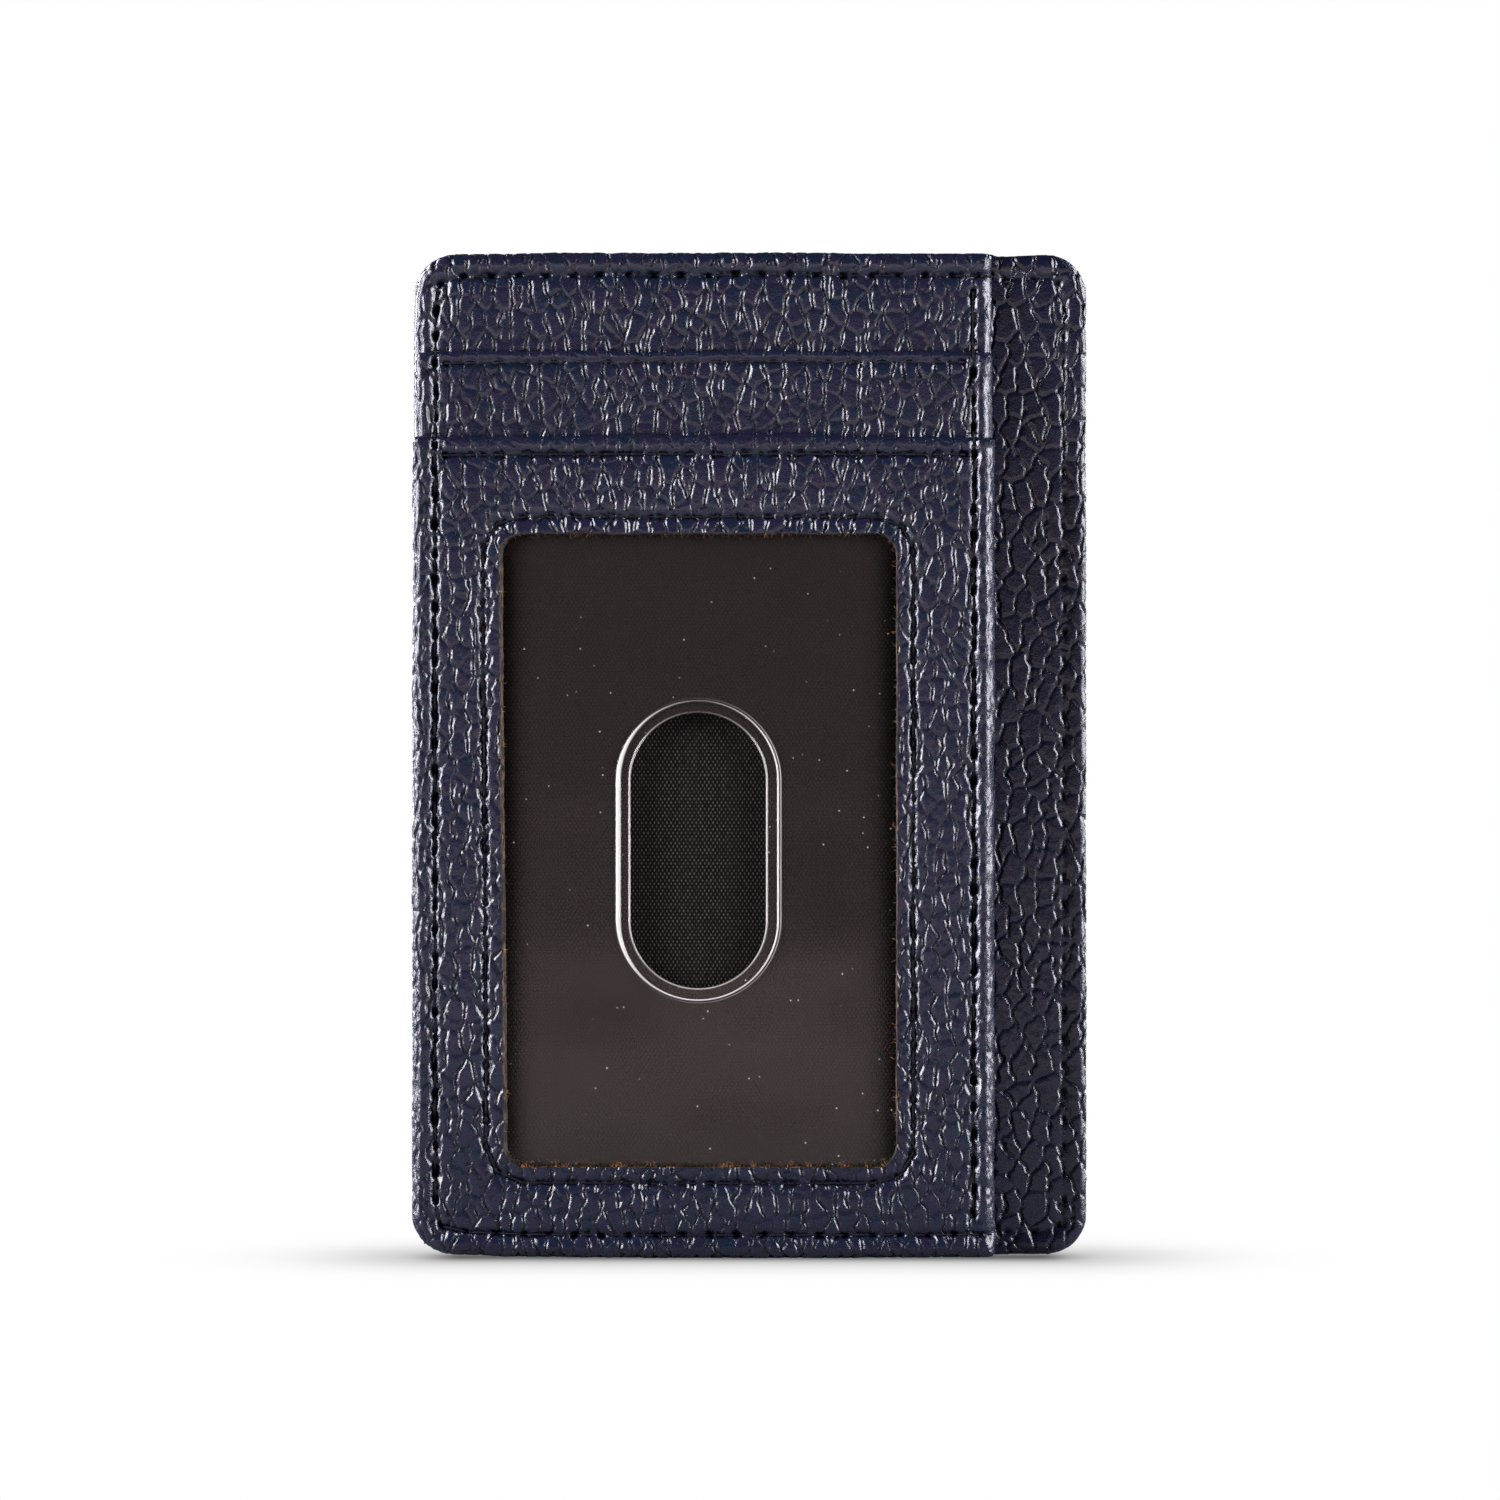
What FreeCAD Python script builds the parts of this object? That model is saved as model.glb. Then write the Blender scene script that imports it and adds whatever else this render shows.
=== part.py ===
"""Slim upright card holder in pebbled leather, built as a flat stack of sewn panels.

Frame: X to the right, Y to the back, Z up, origin at the bottom centre of the stack. The front faces -Y.
From front to back the stack is: a window panel with a clear film, the ID pocket, a slot panel, the card
slot, a backing panel, the side-entry centre pocket, and the base of facing panel, stiffener and rear panel.
The front stack is narrower than the base and ends in a sewn lip, so a strip of the base shows at the right.
The edges of each panel are turned under; the turned edges are bars that space the panels and close the
pockets. Seams are lockstitch: staple-shaped upper and bobbin threads share needle holes through the layers.
"""
import FreeCAD, Part
import os

from FreeCAD import Vector

# Outline, in mm
WIDTH = 77.0
HEIGHT = 114.5
CORNER_R = 4.6
INSIDE_CORNER_R = 1.0       # smallest corner of a layer that stops short of the outline
LIP_X = 27.9                # right edge of the front stack
LEFT_X = -WIDTH / 2
RIGHT_X = WIDTH / 2
INNER_INSET = 0.25          # the panels behind the window panel are this much narrower at the left

# Pocket mouths, as heights above the bottom edge
ID_MOUTH_Z = 93.6
SLOT_MOUTH_Z = 103.2
SLOT_LINING_TOP_Z = 88.0
BACKING_LINING_TOP_Z = 97.0

# Window in the front panel and the thumb slot in its film
WINDOW_WIDTH = 45.4
WINDOW_HEIGHT = 72.2
WINDOW_X = -5.9             # centre
WINDOW_Z = 46.4             # centre
WINDOW_R = 2.6
FILM_MARGIN = 3.6
THUMB_WIDTH = 15.4
THUMB_HEIGHT = 31.3
RIM_WIDTH = 1.75
RIM_RISE = 0.35             # the rim stands this far proud of the film, towards the front
RIM_ROUND = 0.3

# Thicknesses along Y
OUTER_LEATHER = 0.7
INNER_LEATHER = 0.5
LINING = 0.1
FILM = 0.2
STIFFENER = 0.3
CARD_GAP = 1.0              # a 0.76 mm card, plus room for the seam thread
NOTE_GAP = 0.8

# Turned edges
TURNED_WIDTH = 5.0
STIFFENER_INSET = 5.2
CENTRE_LINING_SETBACK = 0.4 # the centre pocket's linings stop this far inside the lip

# Seams
THREAD_R = 0.1
NEEDLE_HOLE_R = 0.3
LEG_OFFSET = 0.15           # two legs share a hole, this far either side of its centre
BEND_R = 0.11
LEG_END_GAP = 0.05          # between an upper leg's end and a bobbin leg's end
GROOVE_DEPTH = 0.2
GROOVE_WIDTH = 0.36
STITCH_PITCH = 3.1
SEAM_INSET = 2.6
SEAM_CORNER_R = 2.0
PERIMETER_PHASE = 0.45      # shifts the perimeter holes along the path, clear of the mouths and the lip
LIP_SEAM_X = 25.5
LIP_SEAM_FOOT_Z = 4.6
LIP_SEAM_HEAD_Z = 110.2
WINDOW_SEAM_OFFSET = 1.8
WINDOW_SEAM_CORNER_R = 3.9
ID_HEM_DROP = 2.2
SLOT_HEM_DROP = 1.25
HEM_FOOT_X = -32.4
HEM_HEAD_X = 22.0
STEP_CLEARANCE = 0.16       # a thread passes this far outside the edge it drops over

OVERRUN = 1.0               # cutting tools run this far past the face they open
TINY = 0.001                # two lengths closer than this are the same
HOLE_STEPS = 20             # a closed seam's path is divided this finely between two holes


def stack_levels():
    """Y ranges (front face, rear face) of every layer and gap, with the whole stack centred on Y = 0."""
    order = [
        ("window_panel", OUTER_LEATHER), ("film", FILM), ("id_gap", CARD_GAP),
        ("slot_lining", LINING), ("slot_panel", INNER_LEATHER), ("slot_gap", CARD_GAP),
        ("backing_lining", LINING), ("backing_panel", INNER_LEATHER), ("centre_front_lining", LINING),
        ("centre_gap", NOTE_GAP), ("centre_rear_lining", LINING), ("facing_panel", INNER_LEATHER),
        ("stiffener", STIFFENER), ("rear_panel", OUTER_LEATHER),
    ]
    y = -sum(thickness for _, thickness in order) / 2
    levels = {}
    for name, thickness in order:
        levels[name] = (y, y + thickness)
        y += thickness
    return levels


LEVEL = stack_levels()
FRONT_Y = LEVEL["window_panel"][0]
REAR_Y = LEVEL["rear_panel"][1]


# ---------- plates and outlines ----------

def past(y, front=OVERRUN, rear=OVERRUN):
    """A Y range lengthened at its front and rear, so that a cutting tool clears the stock."""
    return (y[0] - front, y[1] + rear)


def box(x, y, z):
    """Box from three (low, high) pairs."""
    return Part.makeBox(x[1] - x[0], y[1] - y[0], z[1] - z[0], Vector(x[0], y[0], z[0]))


def edges_along_y(solid):
    """The edges of a prism that run front to back."""
    return [e for e in solid.Edges if 1 - abs(e.tangentAt(e.FirstParameter).y) < TINY]


def rounded_box(x, y, z, radius):
    """Box whose four edges along Y are rounded."""
    plain = box(x, y, z)
    return plain.makeFillet(radius, edges_along_y(plain))


def outline(y, left=LEFT_X, right=RIGHT_X, bottom=0.0, top=HEIGHT, inset=0.0):
    """The holder's rounded outline between two Y levels, trimmed to left, right, bottom and top."""
    corner = max(CORNER_R - inset, INSIDE_CORNER_R)
    whole = rounded_box((LEFT_X + inset, RIGHT_X - inset), y, (inset, HEIGHT - inset), corner)
    trim = box((left, right), past(y), (bottom, top))
    return whole.common(trim)


def front_plate(level, top=HEIGHT, left=LEFT_X + INNER_INSET, right=LIP_X):
    """A plate of the front stack, from its left edge to the lip."""
    return outline(LEVEL[level], left, right, 0.0, top)


def stadium(y, width, height):
    """Upright slot shape with round ends, centred on the window."""
    half = width / 2
    return rounded_box((WINDOW_X - half, WINDOW_X + half), y,
                       (WINDOW_Z - height / 2, WINDOW_Z + height / 2), half - TINY)


def window_opening(y, grow=0.0):
    """The window's opening, or a larger copy of it."""
    half_width = WINDOW_WIDTH / 2 + grow
    half_height = WINDOW_HEIGHT / 2 + grow
    return rounded_box((WINDOW_X - half_width, WINDOW_X + half_width), y,
                       (WINDOW_Z - half_height, WINDOW_Z + half_height), WINDOW_R + grow)


# ---------- seams ----------

def distance(start, end):
    """Distance between two (x, z) points."""
    return ((end[0] - start[0]) ** 2 + (end[1] - start[1]) ** 2) ** 0.5


def straight_holes(start, end):
    """Evenly spaced needle holes as (x, z) along a straight seam."""
    count = round(distance(start, end) / STITCH_PITCH)
    return [(start[0] + (end[0] - start[0]) * i / count, start[1] + (end[1] - start[1]) * i / count)
            for i in range(count + 1)]


def loop_holes(x, z, radius, phase=0.0):
    """Needle holes as (x, z) around a rounded rectangle, closed: the first hole is repeated at the end."""
    rounded = rounded_box(x, (0, 1), z, radius)
    rim = [f for f in rounded.Faces if abs(f.CenterOfMass.y) < TINY][0].OuterWire
    count = round(rim.Length / STITCH_PITCH)
    points = rim.discretize(Number=count * HOLE_STEPS + 1)[:-1]
    shift = round(phase * HOLE_STEPS)
    holes = [points[(i * HOLE_STEPS + shift) % len(points)] for i in range(count)]
    holes.append(holes[0])
    return [(p.x, p.z) for p in holes]


def front_level(x, z):
    """Y of the front face that a seam lies on, at (x, z)."""
    if x > LIP_X:
        return LEVEL["facing_panel"][0]
    if z > SLOT_MOUTH_Z:
        return LEVEL["backing_panel"][0]
    if z > ID_MOUTH_Z:
        return LEVEL["slot_panel"][0]
    return FRONT_Y


def step_between(start, end):
    """Where the straight line between two holes leaves a raised panel: the share of its length, or None."""
    for axis, edge in ((0, LIP_X), (1, SLOT_MOUTH_Z), (1, ID_MOUTH_Z)):
        low, high = sorted((start[axis], end[axis]))
        if low < edge < high:
            return (edge - start[axis]) / (end[axis] - start[axis])
    return None


def rounded_pipe(points):
    """Round thread that follows a polyline whose corners are eased with small arcs."""
    edges = []
    here = points[0]
    for before, corner, after in zip(points, points[1:], points[2:]):
        back = (before - corner).normalize()
        on = (after - corner).normalize()
        entry = corner + back * BEND_R
        leave = corner + on * BEND_R
        middle = corner + (back + on) * (BEND_R * (1 - 0.5 ** 0.5))
        edges += [Part.makeLine(here, entry), Part.Arc(entry, middle, leave).toShape()]
        here = leave
    edges.append(Part.makeLine(here, points[-1]))
    path = Part.Wire(edges)
    section = Part.Wire(Part.makeCircle(THREAD_R, points[0], points[1] - points[0]))
    return path.makePipeShell([section], True, False)


def staple(start, end, levels, leg_end, outward):
    """One stitch between two needle holes: a crown on the surface and a leg down each hole.

    levels are the crown's Y at each end, leg_end is the Y where the legs stop, and outward is the Y
    direction out of the surface. Where the levels differ the crown drops over the step between them.
    """
    a = Vector(start[0], 0, start[1])
    b = Vector(end[0], 0, end[1])
    along = (b - a).normalize()
    a = a + along * LEG_OFFSET
    b = b - along * LEG_OFFSET

    def at(point, y):
        return Vector(point.x, y, point.z)

    points = [at(a, leg_end), at(a, levels[0])]
    if abs(levels[0] - levels[1]) > TINY:
        edge = Vector(start[0], 0, start[1]) + along * (step_between(start, end) * distance(start, end))
        falls = (levels[1] - levels[0]) * outward < 0
        drop = edge + along * (STEP_CLEARANCE if falls else -STEP_CLEARANCE)
        points += [at(drop, levels[0]), at(drop, levels[1])]
    points += [at(b, levels[1]), at(b, leg_end)]
    return rounded_pipe(points)


def upper_thread(holes, meet_y):
    """All front-side stitches of a seam, sunk in grooves of whichever panel is in front."""
    depth = GROOVE_DEPTH - THREAD_R
    return [staple(p, q, (front_level(*p) + depth, front_level(*q) + depth), meet_y - LEG_END_GAP / 2, -1)
            for p, q in zip(holes, holes[1:])]


def bobbin_thread(holes, surface_y, meet_y, sink):
    """All rear-side stitches of a seam, on one flat face or sunk in it."""
    level = surface_y - sink + THREAD_R
    return [staple(p, q, (level, level), meet_y + LEG_END_GAP / 2, 1) for p, q in zip(holes, holes[1:])]


def needle_cutters(holes, y):
    """Cylinders for the needle holes of a seam, through every layer between two Y levels."""
    front, rear = past(y)
    return [Part.makeCylinder(NEEDLE_HOLE_R, rear - front, Vector(x, front, z), Vector(0, 1, 0))
            for x, z in sorted(set(holes))]


def straight_groove(start, end, y):
    """Groove for a straight seam that runs along X or Z, between two Y levels."""
    half = GROOVE_WIDTH / 2
    x = (min(start[0], end[0]) - half, max(start[0], end[0]) + half)
    z = (min(start[1], end[1]) - half, max(start[1], end[1]) + half)
    return box(x, y, z)


def loop_groove(holes, y):
    """Groove that follows the straight stitches of a closed seam, between two Y levels."""
    polygon = Part.makePolygon([Vector(x, y[0], z) for x, z in holes])
    sharp_joins = 2
    outer, inner = (Part.Face(polygon.makeOffset2D(offset, sharp_joins)).extrude(Vector(0, y[1] - y[0], 0))
                    for offset in (GROOVE_WIDTH / 2, -GROOVE_WIDTH / 2))
    return outer.cut(inner)


PERIMETER_X = (LEFT_X + SEAM_INSET, RIGHT_X - SEAM_INSET)
PERIMETER_Z = (SEAM_INSET, HEIGHT - SEAM_INSET)
WINDOW_SEAM_HALF_X = WINDOW_WIDTH / 2 + WINDOW_SEAM_OFFSET
WINDOW_SEAM_HALF_Z = WINDOW_HEIGHT / 2 + WINDOW_SEAM_OFFSET
WINDOW_SEAM_X = (WINDOW_X - WINDOW_SEAM_HALF_X, WINDOW_X + WINDOW_SEAM_HALF_X)
WINDOW_SEAM_Z = (WINDOW_Z - WINDOW_SEAM_HALF_Z, WINDOW_Z + WINDOW_SEAM_HALF_Z)
ID_HEM_Z = ID_MOUTH_Z - ID_HEM_DROP
SLOT_HEM_Z = SLOT_MOUTH_Z - SLOT_HEM_DROP

PERIMETER_HOLES = loop_holes(PERIMETER_X, PERIMETER_Z, SEAM_CORNER_R, PERIMETER_PHASE)
LIP_HOLES = straight_holes((LIP_SEAM_X, LIP_SEAM_FOOT_Z), (LIP_SEAM_X, LIP_SEAM_HEAD_Z))
WINDOW_HOLES = loop_holes(WINDOW_SEAM_X, WINDOW_SEAM_Z, WINDOW_SEAM_CORNER_R)
ID_HEM_HOLES = straight_holes((HEM_FOOT_X, ID_HEM_Z), (HEM_HEAD_X, ID_HEM_Z))
SLOT_HEM_HOLES = straight_holes((HEM_FOOT_X, SLOT_HEM_Z), (HEM_HEAD_X, SLOT_HEM_Z))

PERIMETER_NEEDLES = needle_cutters(PERIMETER_HOLES, (FRONT_Y, REAR_Y))
LIP_NEEDLES = needle_cutters(LIP_HOLES, (FRONT_Y, LEVEL["centre_front_lining"][1]))
WINDOW_NEEDLES = needle_cutters(WINDOW_HOLES, LEVEL["window_panel"])
ID_HEM_NEEDLES = needle_cutters(ID_HEM_HOLES, LEVEL["window_panel"])
SLOT_HEM_NEEDLES = needle_cutters(SLOT_HEM_HOLES, LEVEL["slot_panel"])


def sunk(level):
    """Y range of a groove in the front face of a layer, open to the front."""
    front = LEVEL[level][0]
    return (front - OVERRUN, front + GROOVE_DEPTH)


def sewn(solid, *cutter_groups):
    """The solid with needle holes and grooves cut in it. Each group is a list of cutters."""
    return solid.cut(Part.makeCompound([c for group in cutter_groups for c in group]))


# ---------- panels ----------

def window_panel():
    """Front panel with the window opening and grooves for its four seams."""
    plate = front_plate("window_panel", ID_MOUTH_Z, left=LEFT_X)
    opening = window_opening(past(LEVEL["window_panel"]))
    y = sunk("window_panel")
    grooves = [
        loop_groove(PERIMETER_HOLES, y),
        loop_groove(WINDOW_HOLES, y),
        straight_groove((LIP_SEAM_X, LIP_SEAM_FOOT_Z), (LIP_SEAM_X, HEIGHT), y),
        straight_groove((HEM_FOOT_X, ID_HEM_Z), (HEM_HEAD_X, ID_HEM_Z), y),
    ]
    return sewn(plate.cut(opening), PERIMETER_NEEDLES, LIP_NEEDLES, WINDOW_NEEDLES, ID_HEM_NEEDLES, grooves)


def window_film():
    """Clear film behind the window, with a thumb slot that has a raised rounded rim."""
    y = LEVEL["film"]
    sheet = window_opening(y, FILM_MARGIN)
    rim = stadium((y[0] - RIM_RISE, y[1]), THUMB_WIDTH + 2 * RIM_WIDTH, THUMB_HEIGHT + 2 * RIM_WIDTH)
    crest = [e for e in rim.Edges if e.BoundBox.YMax < y[0] - RIM_RISE + TINY]
    rim = rim.makeFillet(RIM_ROUND, crest)
    slot = stadium(past(y), THUMB_WIDTH, THUMB_HEIGHT)
    return sewn(sheet.fuse(rim).removeSplitter().cut(slot), WINDOW_NEEDLES)


def slot_panel():
    """Second panel: its top band shows above the ID pocket's mouth."""
    y = sunk("slot_panel")
    grooves = [
        loop_groove(PERIMETER_HOLES, y),
        straight_groove((LIP_SEAM_X, ID_MOUTH_Z), (LIP_SEAM_X, HEIGHT), y),
        straight_groove((HEM_FOOT_X, SLOT_HEM_Z), (HEM_HEAD_X, SLOT_HEM_Z), y),
    ]
    visible = [g.common(box((LEFT_X, LIP_X), y, (ID_MOUTH_Z, HEIGHT))) for g in grooves]
    plate = front_plate("slot_panel", SLOT_MOUTH_Z)
    return sewn(plate, PERIMETER_NEEDLES, LIP_NEEDLES, SLOT_HEM_NEEDLES, visible)


def lip_bobbin_groove():
    """Groove in the back of the front stack for the lip seam's bobbin thread."""
    face = LEVEL["centre_front_lining"][1]
    return straight_groove((LIP_SEAM_X, LIP_SEAM_FOOT_Z), (LIP_SEAM_X, LIP_SEAM_HEAD_Z),
                           (face - GROOVE_DEPTH, face + OVERRUN))


def backing_panel():
    """Third panel, full height: its top band shows above the card slot's mouth."""
    y = sunk("backing_panel")
    grooves = [
        loop_groove(PERIMETER_HOLES, y),
        straight_groove((LIP_SEAM_X, SLOT_MOUTH_Z), (LIP_SEAM_X, LIP_SEAM_HEAD_Z), y),
    ]
    visible = [g.common(box((LEFT_X, LIP_X), y, (SLOT_MOUTH_Z, HEIGHT))) for g in grooves]
    return sewn(front_plate("backing_panel"), PERIMETER_NEEDLES, LIP_NEEDLES, visible, [lip_bobbin_groove()])


def facing_panel():
    """Front face of the base: the strip right of the lip shows."""
    y = sunk("facing_panel")
    groove = loop_groove(PERIMETER_HOLES, y)
    visible = groove.common(box((LIP_X, RIGHT_X), y, (0, HEIGHT)))
    return sewn(outline(LEVEL["facing_panel"]), PERIMETER_NEEDLES, [visible])


def rear_panel():
    """Plain back of the holder, with the groove that the bobbin thread lies in."""
    groove = loop_groove(PERIMETER_HOLES, (REAR_Y - GROOVE_DEPTH, REAR_Y + OVERRUN))
    return sewn(outline(LEVEL["rear_panel"]), PERIMETER_NEEDLES, [groove])


# ---------- turned edges ----------

def turned_edges(y, left=LEFT_X + INNER_INSET, right=LIP_X, sides=("left", "right", "bottom"), top=HEIGHT):
    """Turned-under edges of a panel, one bar a side, butted at the corners."""
    upper = HEIGHT - TURNED_WIDTH if "top" in sides else top
    bars = {
        "left": (left, left + TURNED_WIDTH, TURNED_WIDTH, upper),
        "right": (right - TURNED_WIDTH, right, TURNED_WIDTH, upper),
        "bottom": (left, right, 0.0, TURNED_WIDTH),
        "top": (left, right, HEIGHT - TURNED_WIDTH, HEIGHT),
    }
    return [outline(y, *bars[side]) for side in sides]


def spacer_bars(y, needles, **spans):
    """Turned edges that fill the space between two Y levels, with their needle holes."""
    return Part.makeCompound([sewn(bar, *needles) for bar in turned_edges(y, **spans)])


# ---------- the whole holder ----------

def front_stack_nodes():
    """The window panel, slot panel and backing panel, with the two pockets between them."""
    both = (PERIMETER_NEEDLES, LIP_NEEDLES)
    id_pocket_depth = (LEVEL["film"][0], LEVEL["id_gap"][1])
    return {
        "id_window_panel": window_panel(),
        "id_window_film": window_film(),
        "id_pocket_turned_edges": spacer_bars(id_pocket_depth, both, top=ID_MOUTH_Z),
        "slot_panel_lining": sewn(front_plate("slot_lining", SLOT_LINING_TOP_Z), *both),
        "slot_panel": slot_panel(),
        "slot_pocket_turned_edges": spacer_bars(LEVEL["slot_gap"], both, top=SLOT_MOUTH_Z),
        "backing_panel_lining": sewn(front_plate("backing_lining", BACKING_LINING_TOP_Z), *both),
        "backing_panel": backing_panel(),
    }


def centre_pocket_nodes():
    """The linings and turned edges of the pocket that opens at the lip."""
    right = LIP_X - CENTRE_LINING_SETBACK
    front_lining = sewn(front_plate("centre_front_lining", right=right), PERIMETER_NEEDLES, LIP_NEEDLES)
    open_right = ("left", "bottom", "top")
    bars = spacer_bars(LEVEL["centre_gap"], (PERIMETER_NEEDLES,), right=right, sides=open_right)
    return {
        "centre_pocket_front_lining": front_lining.cut(lip_bobbin_groove()),
        "centre_pocket_turned_edges": bars,
        "centre_pocket_rear_lining": sewn(front_plate("centre_rear_lining", right=right), PERIMETER_NEEDLES),
    }


def base_nodes():
    """The full-width base behind the front stack."""
    bars = spacer_bars(LEVEL["stiffener"], (PERIMETER_NEEDLES,), left=LEFT_X, right=RIGHT_X,
                       sides=("left", "right", "bottom", "top"))
    return {
        "base_facing_panel": facing_panel(),
        "base_stiffener": outline(LEVEL["stiffener"], inset=STIFFENER_INSET),
        "rear_panel_turned_edges": bars,
        "rear_panel": rear_panel(),
    }


def seam_nodes():
    """The upper and bobbin threads of the five seams."""
    perimeter_middle = (LEVEL["facing_panel"][0] + REAR_Y) / 2
    lip_rear = LEVEL["centre_front_lining"][1]
    seams = [
        # name, holes, rear face, depth of the bobbin thread's groove, Y where the two threads meet
        ("perimeter_seam", PERIMETER_HOLES, REAR_Y, GROOVE_DEPTH, perimeter_middle),
        ("lip_seam", LIP_HOLES, lip_rear, GROOVE_DEPTH, sum(LEVEL["backing_panel"]) / 2),
        ("window_seam", WINDOW_HOLES, LEVEL["film"][1], 0.0, (FRONT_Y + LEVEL["film"][1]) / 2),
        ("id_mouth_hem", ID_HEM_HOLES, LEVEL["window_panel"][1], 0.0, sum(LEVEL["window_panel"]) / 2),
        ("slot_mouth_hem", SLOT_HEM_HOLES, LEVEL["slot_panel"][1], 0.0, sum(LEVEL["slot_panel"]) / 2),
    ]
    nodes = {}
    for name, holes, rear_face, sink, meet_y in seams:
        nodes[f"{name}_upper_thread"] = Part.makeCompound(upper_thread(holes, meet_y))
        nodes[f"{name}_bobbin_thread"] = Part.makeCompound(bobbin_thread(holes, rear_face, meet_y, sink))
    return nodes


def export(nodes):
    """Write one STEP file per node."""
    os.makedirs("parts", exist_ok=True)
    for name, shape in nodes.items():
        shape.exportStep(f"parts/{name}.step")
        print(f"{name}: {len(shape.Solids)} solids, valid {shape.isValid()}")


export({**front_stack_nodes(), **centre_pocket_nodes(), **base_nodes(), **seam_nodes()})
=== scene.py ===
"""Looks of the card holder: pebbled leather panels, a clear window, twill linings and sewn thread.

Shapes are worked out in millimetres and written in metres, in the frame's axes: X right, Y back, Z up. The
window faces -Y. Each leather panel is one closed mesh: a grained front, a rounded turned edge and a hem.
"""
import dataclasses
import functools
import math

import bpy
import numpy as np
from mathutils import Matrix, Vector


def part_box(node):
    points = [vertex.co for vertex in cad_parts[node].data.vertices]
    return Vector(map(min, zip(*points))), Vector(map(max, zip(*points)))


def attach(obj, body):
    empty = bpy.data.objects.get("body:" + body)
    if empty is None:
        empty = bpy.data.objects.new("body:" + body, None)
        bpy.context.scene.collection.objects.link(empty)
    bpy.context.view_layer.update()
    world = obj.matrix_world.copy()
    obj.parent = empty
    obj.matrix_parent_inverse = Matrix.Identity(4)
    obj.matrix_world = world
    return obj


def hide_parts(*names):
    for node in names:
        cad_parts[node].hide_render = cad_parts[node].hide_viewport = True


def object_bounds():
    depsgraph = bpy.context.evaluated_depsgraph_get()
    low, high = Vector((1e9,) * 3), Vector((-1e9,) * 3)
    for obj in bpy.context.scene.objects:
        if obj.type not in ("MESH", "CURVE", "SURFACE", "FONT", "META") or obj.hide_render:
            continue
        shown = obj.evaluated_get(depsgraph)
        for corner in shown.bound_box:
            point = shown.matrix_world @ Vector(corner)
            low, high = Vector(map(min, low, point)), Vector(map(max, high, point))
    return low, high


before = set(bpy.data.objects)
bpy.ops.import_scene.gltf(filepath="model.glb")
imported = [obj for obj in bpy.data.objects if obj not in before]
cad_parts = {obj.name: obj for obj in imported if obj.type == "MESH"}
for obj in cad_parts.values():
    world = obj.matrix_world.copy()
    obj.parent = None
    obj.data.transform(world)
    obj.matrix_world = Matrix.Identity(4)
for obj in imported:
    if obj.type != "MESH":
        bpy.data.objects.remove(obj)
cad_low, cad_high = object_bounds()

MM = 0.001
BODY = "root"


def span(node):
    """Lowest and highest corner of a CAD node, in mm."""
    low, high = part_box(node)
    return np.array(low) / MM, np.array(high) / MM


HALF_WIDTH, HEIGHT = cad_high[0] / MM, cad_high[2] / MM
LIP_X = span("id_window_panel")[1][0]

# Distances between mesh points, in mm
GRAIN_ACROSS = 0.14         # across the creases, most of which are upright
GRAIN_ALONG = 0.21
HIDDEN_STEP = 0.9
WALL_STEP = 0.2
RIM_STEP = 0.045
CLOTH_STEP = 1.1

# Numbers of rows
ROUND_ROWS = 10             # in the rounding of an edge
CUT_ROWS = 9                # across the window's cut edge
FILM_ROWS = 25
STITCH_ROWS, STITCH_SIDES = 25, 10

# Turned edges, in mm
TURNED_WIDTH = 5.0
EDGE_WIDTH, EDGE_DEPTH = 1.15, 0.95     # the rounding seen from the front, and how deep it goes
LIP_WIDTH, LIP_DEPTH = 1.5, 1.25
MOUTH_WIDTH = 0.55
SHOULDER = ((0.0, 0), (0.33, 31), (0.64, 43), (1.0, 90))    # tilt in degrees along the rounding
BACK_R = 0.5
GAP = 0.02                  # between neighbouring pieces
HEM_CLEARANCE = 0.1         # from a hem to the sheet behind it
LIP_HEM = 0.35              # thickness of the hem folded back at the lip
LIP_SETBACK = 0.2           # the slot panel's lip ends this far short of the window panel's
BACKING_SETBACK = 0.3
UNDERLAP = 3.0              # the fine mesh runs on this far under the panel in front

# Relief of the leather, in mm
SWELL_HEIGHT, SWELL_INSET, SWELL_WIDTH = 0.12, 1.3, 0.8     # the fuller band between an edge and its seam
SHEET_WAVE, SHEET_WAVE_LENGTH = 0.13, 15.0
BEADS = ((0.04, 0.6), (0.035, 0.32), (0.05, 1.7))           # heights and sizes of the bumps on a turned edge

# How the hand-sewn stack departs from square, in mm
END_BOW = 0.2               # the top's middle stands this much higher than its ends
FOOT_BOW = 0.18             # the foot's ends stand this much higher than its middle
FOOT_LIFT = 0.32            # and its left end this much more
TOP_DIP = 0.24              # the top's dip beside the lip
TOP_WAVE = 0.05
WINDOW_LEAN = 0.5           # the window's left side leans this far right at its foot

# Outlines, in mm
CORNER_R = 4.6
SMALL_CORNER_R = 0.7
WINDOW_R = 2.6
FILM_MARGIN = 3.6           # the film reaches this far past the window
FILM_THICK = 0.16
THUMB_WIDTH, THUMB_HEIGHT = 15.4, 31.3
RIM_WIDTH = 1.75
SHADE_WIDTH = 2.2           # painted shade: the film mirrors and hazes less this near the window's sides
INNER_RIM = 0.35            # lining sheets stay this far inside the panels

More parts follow.
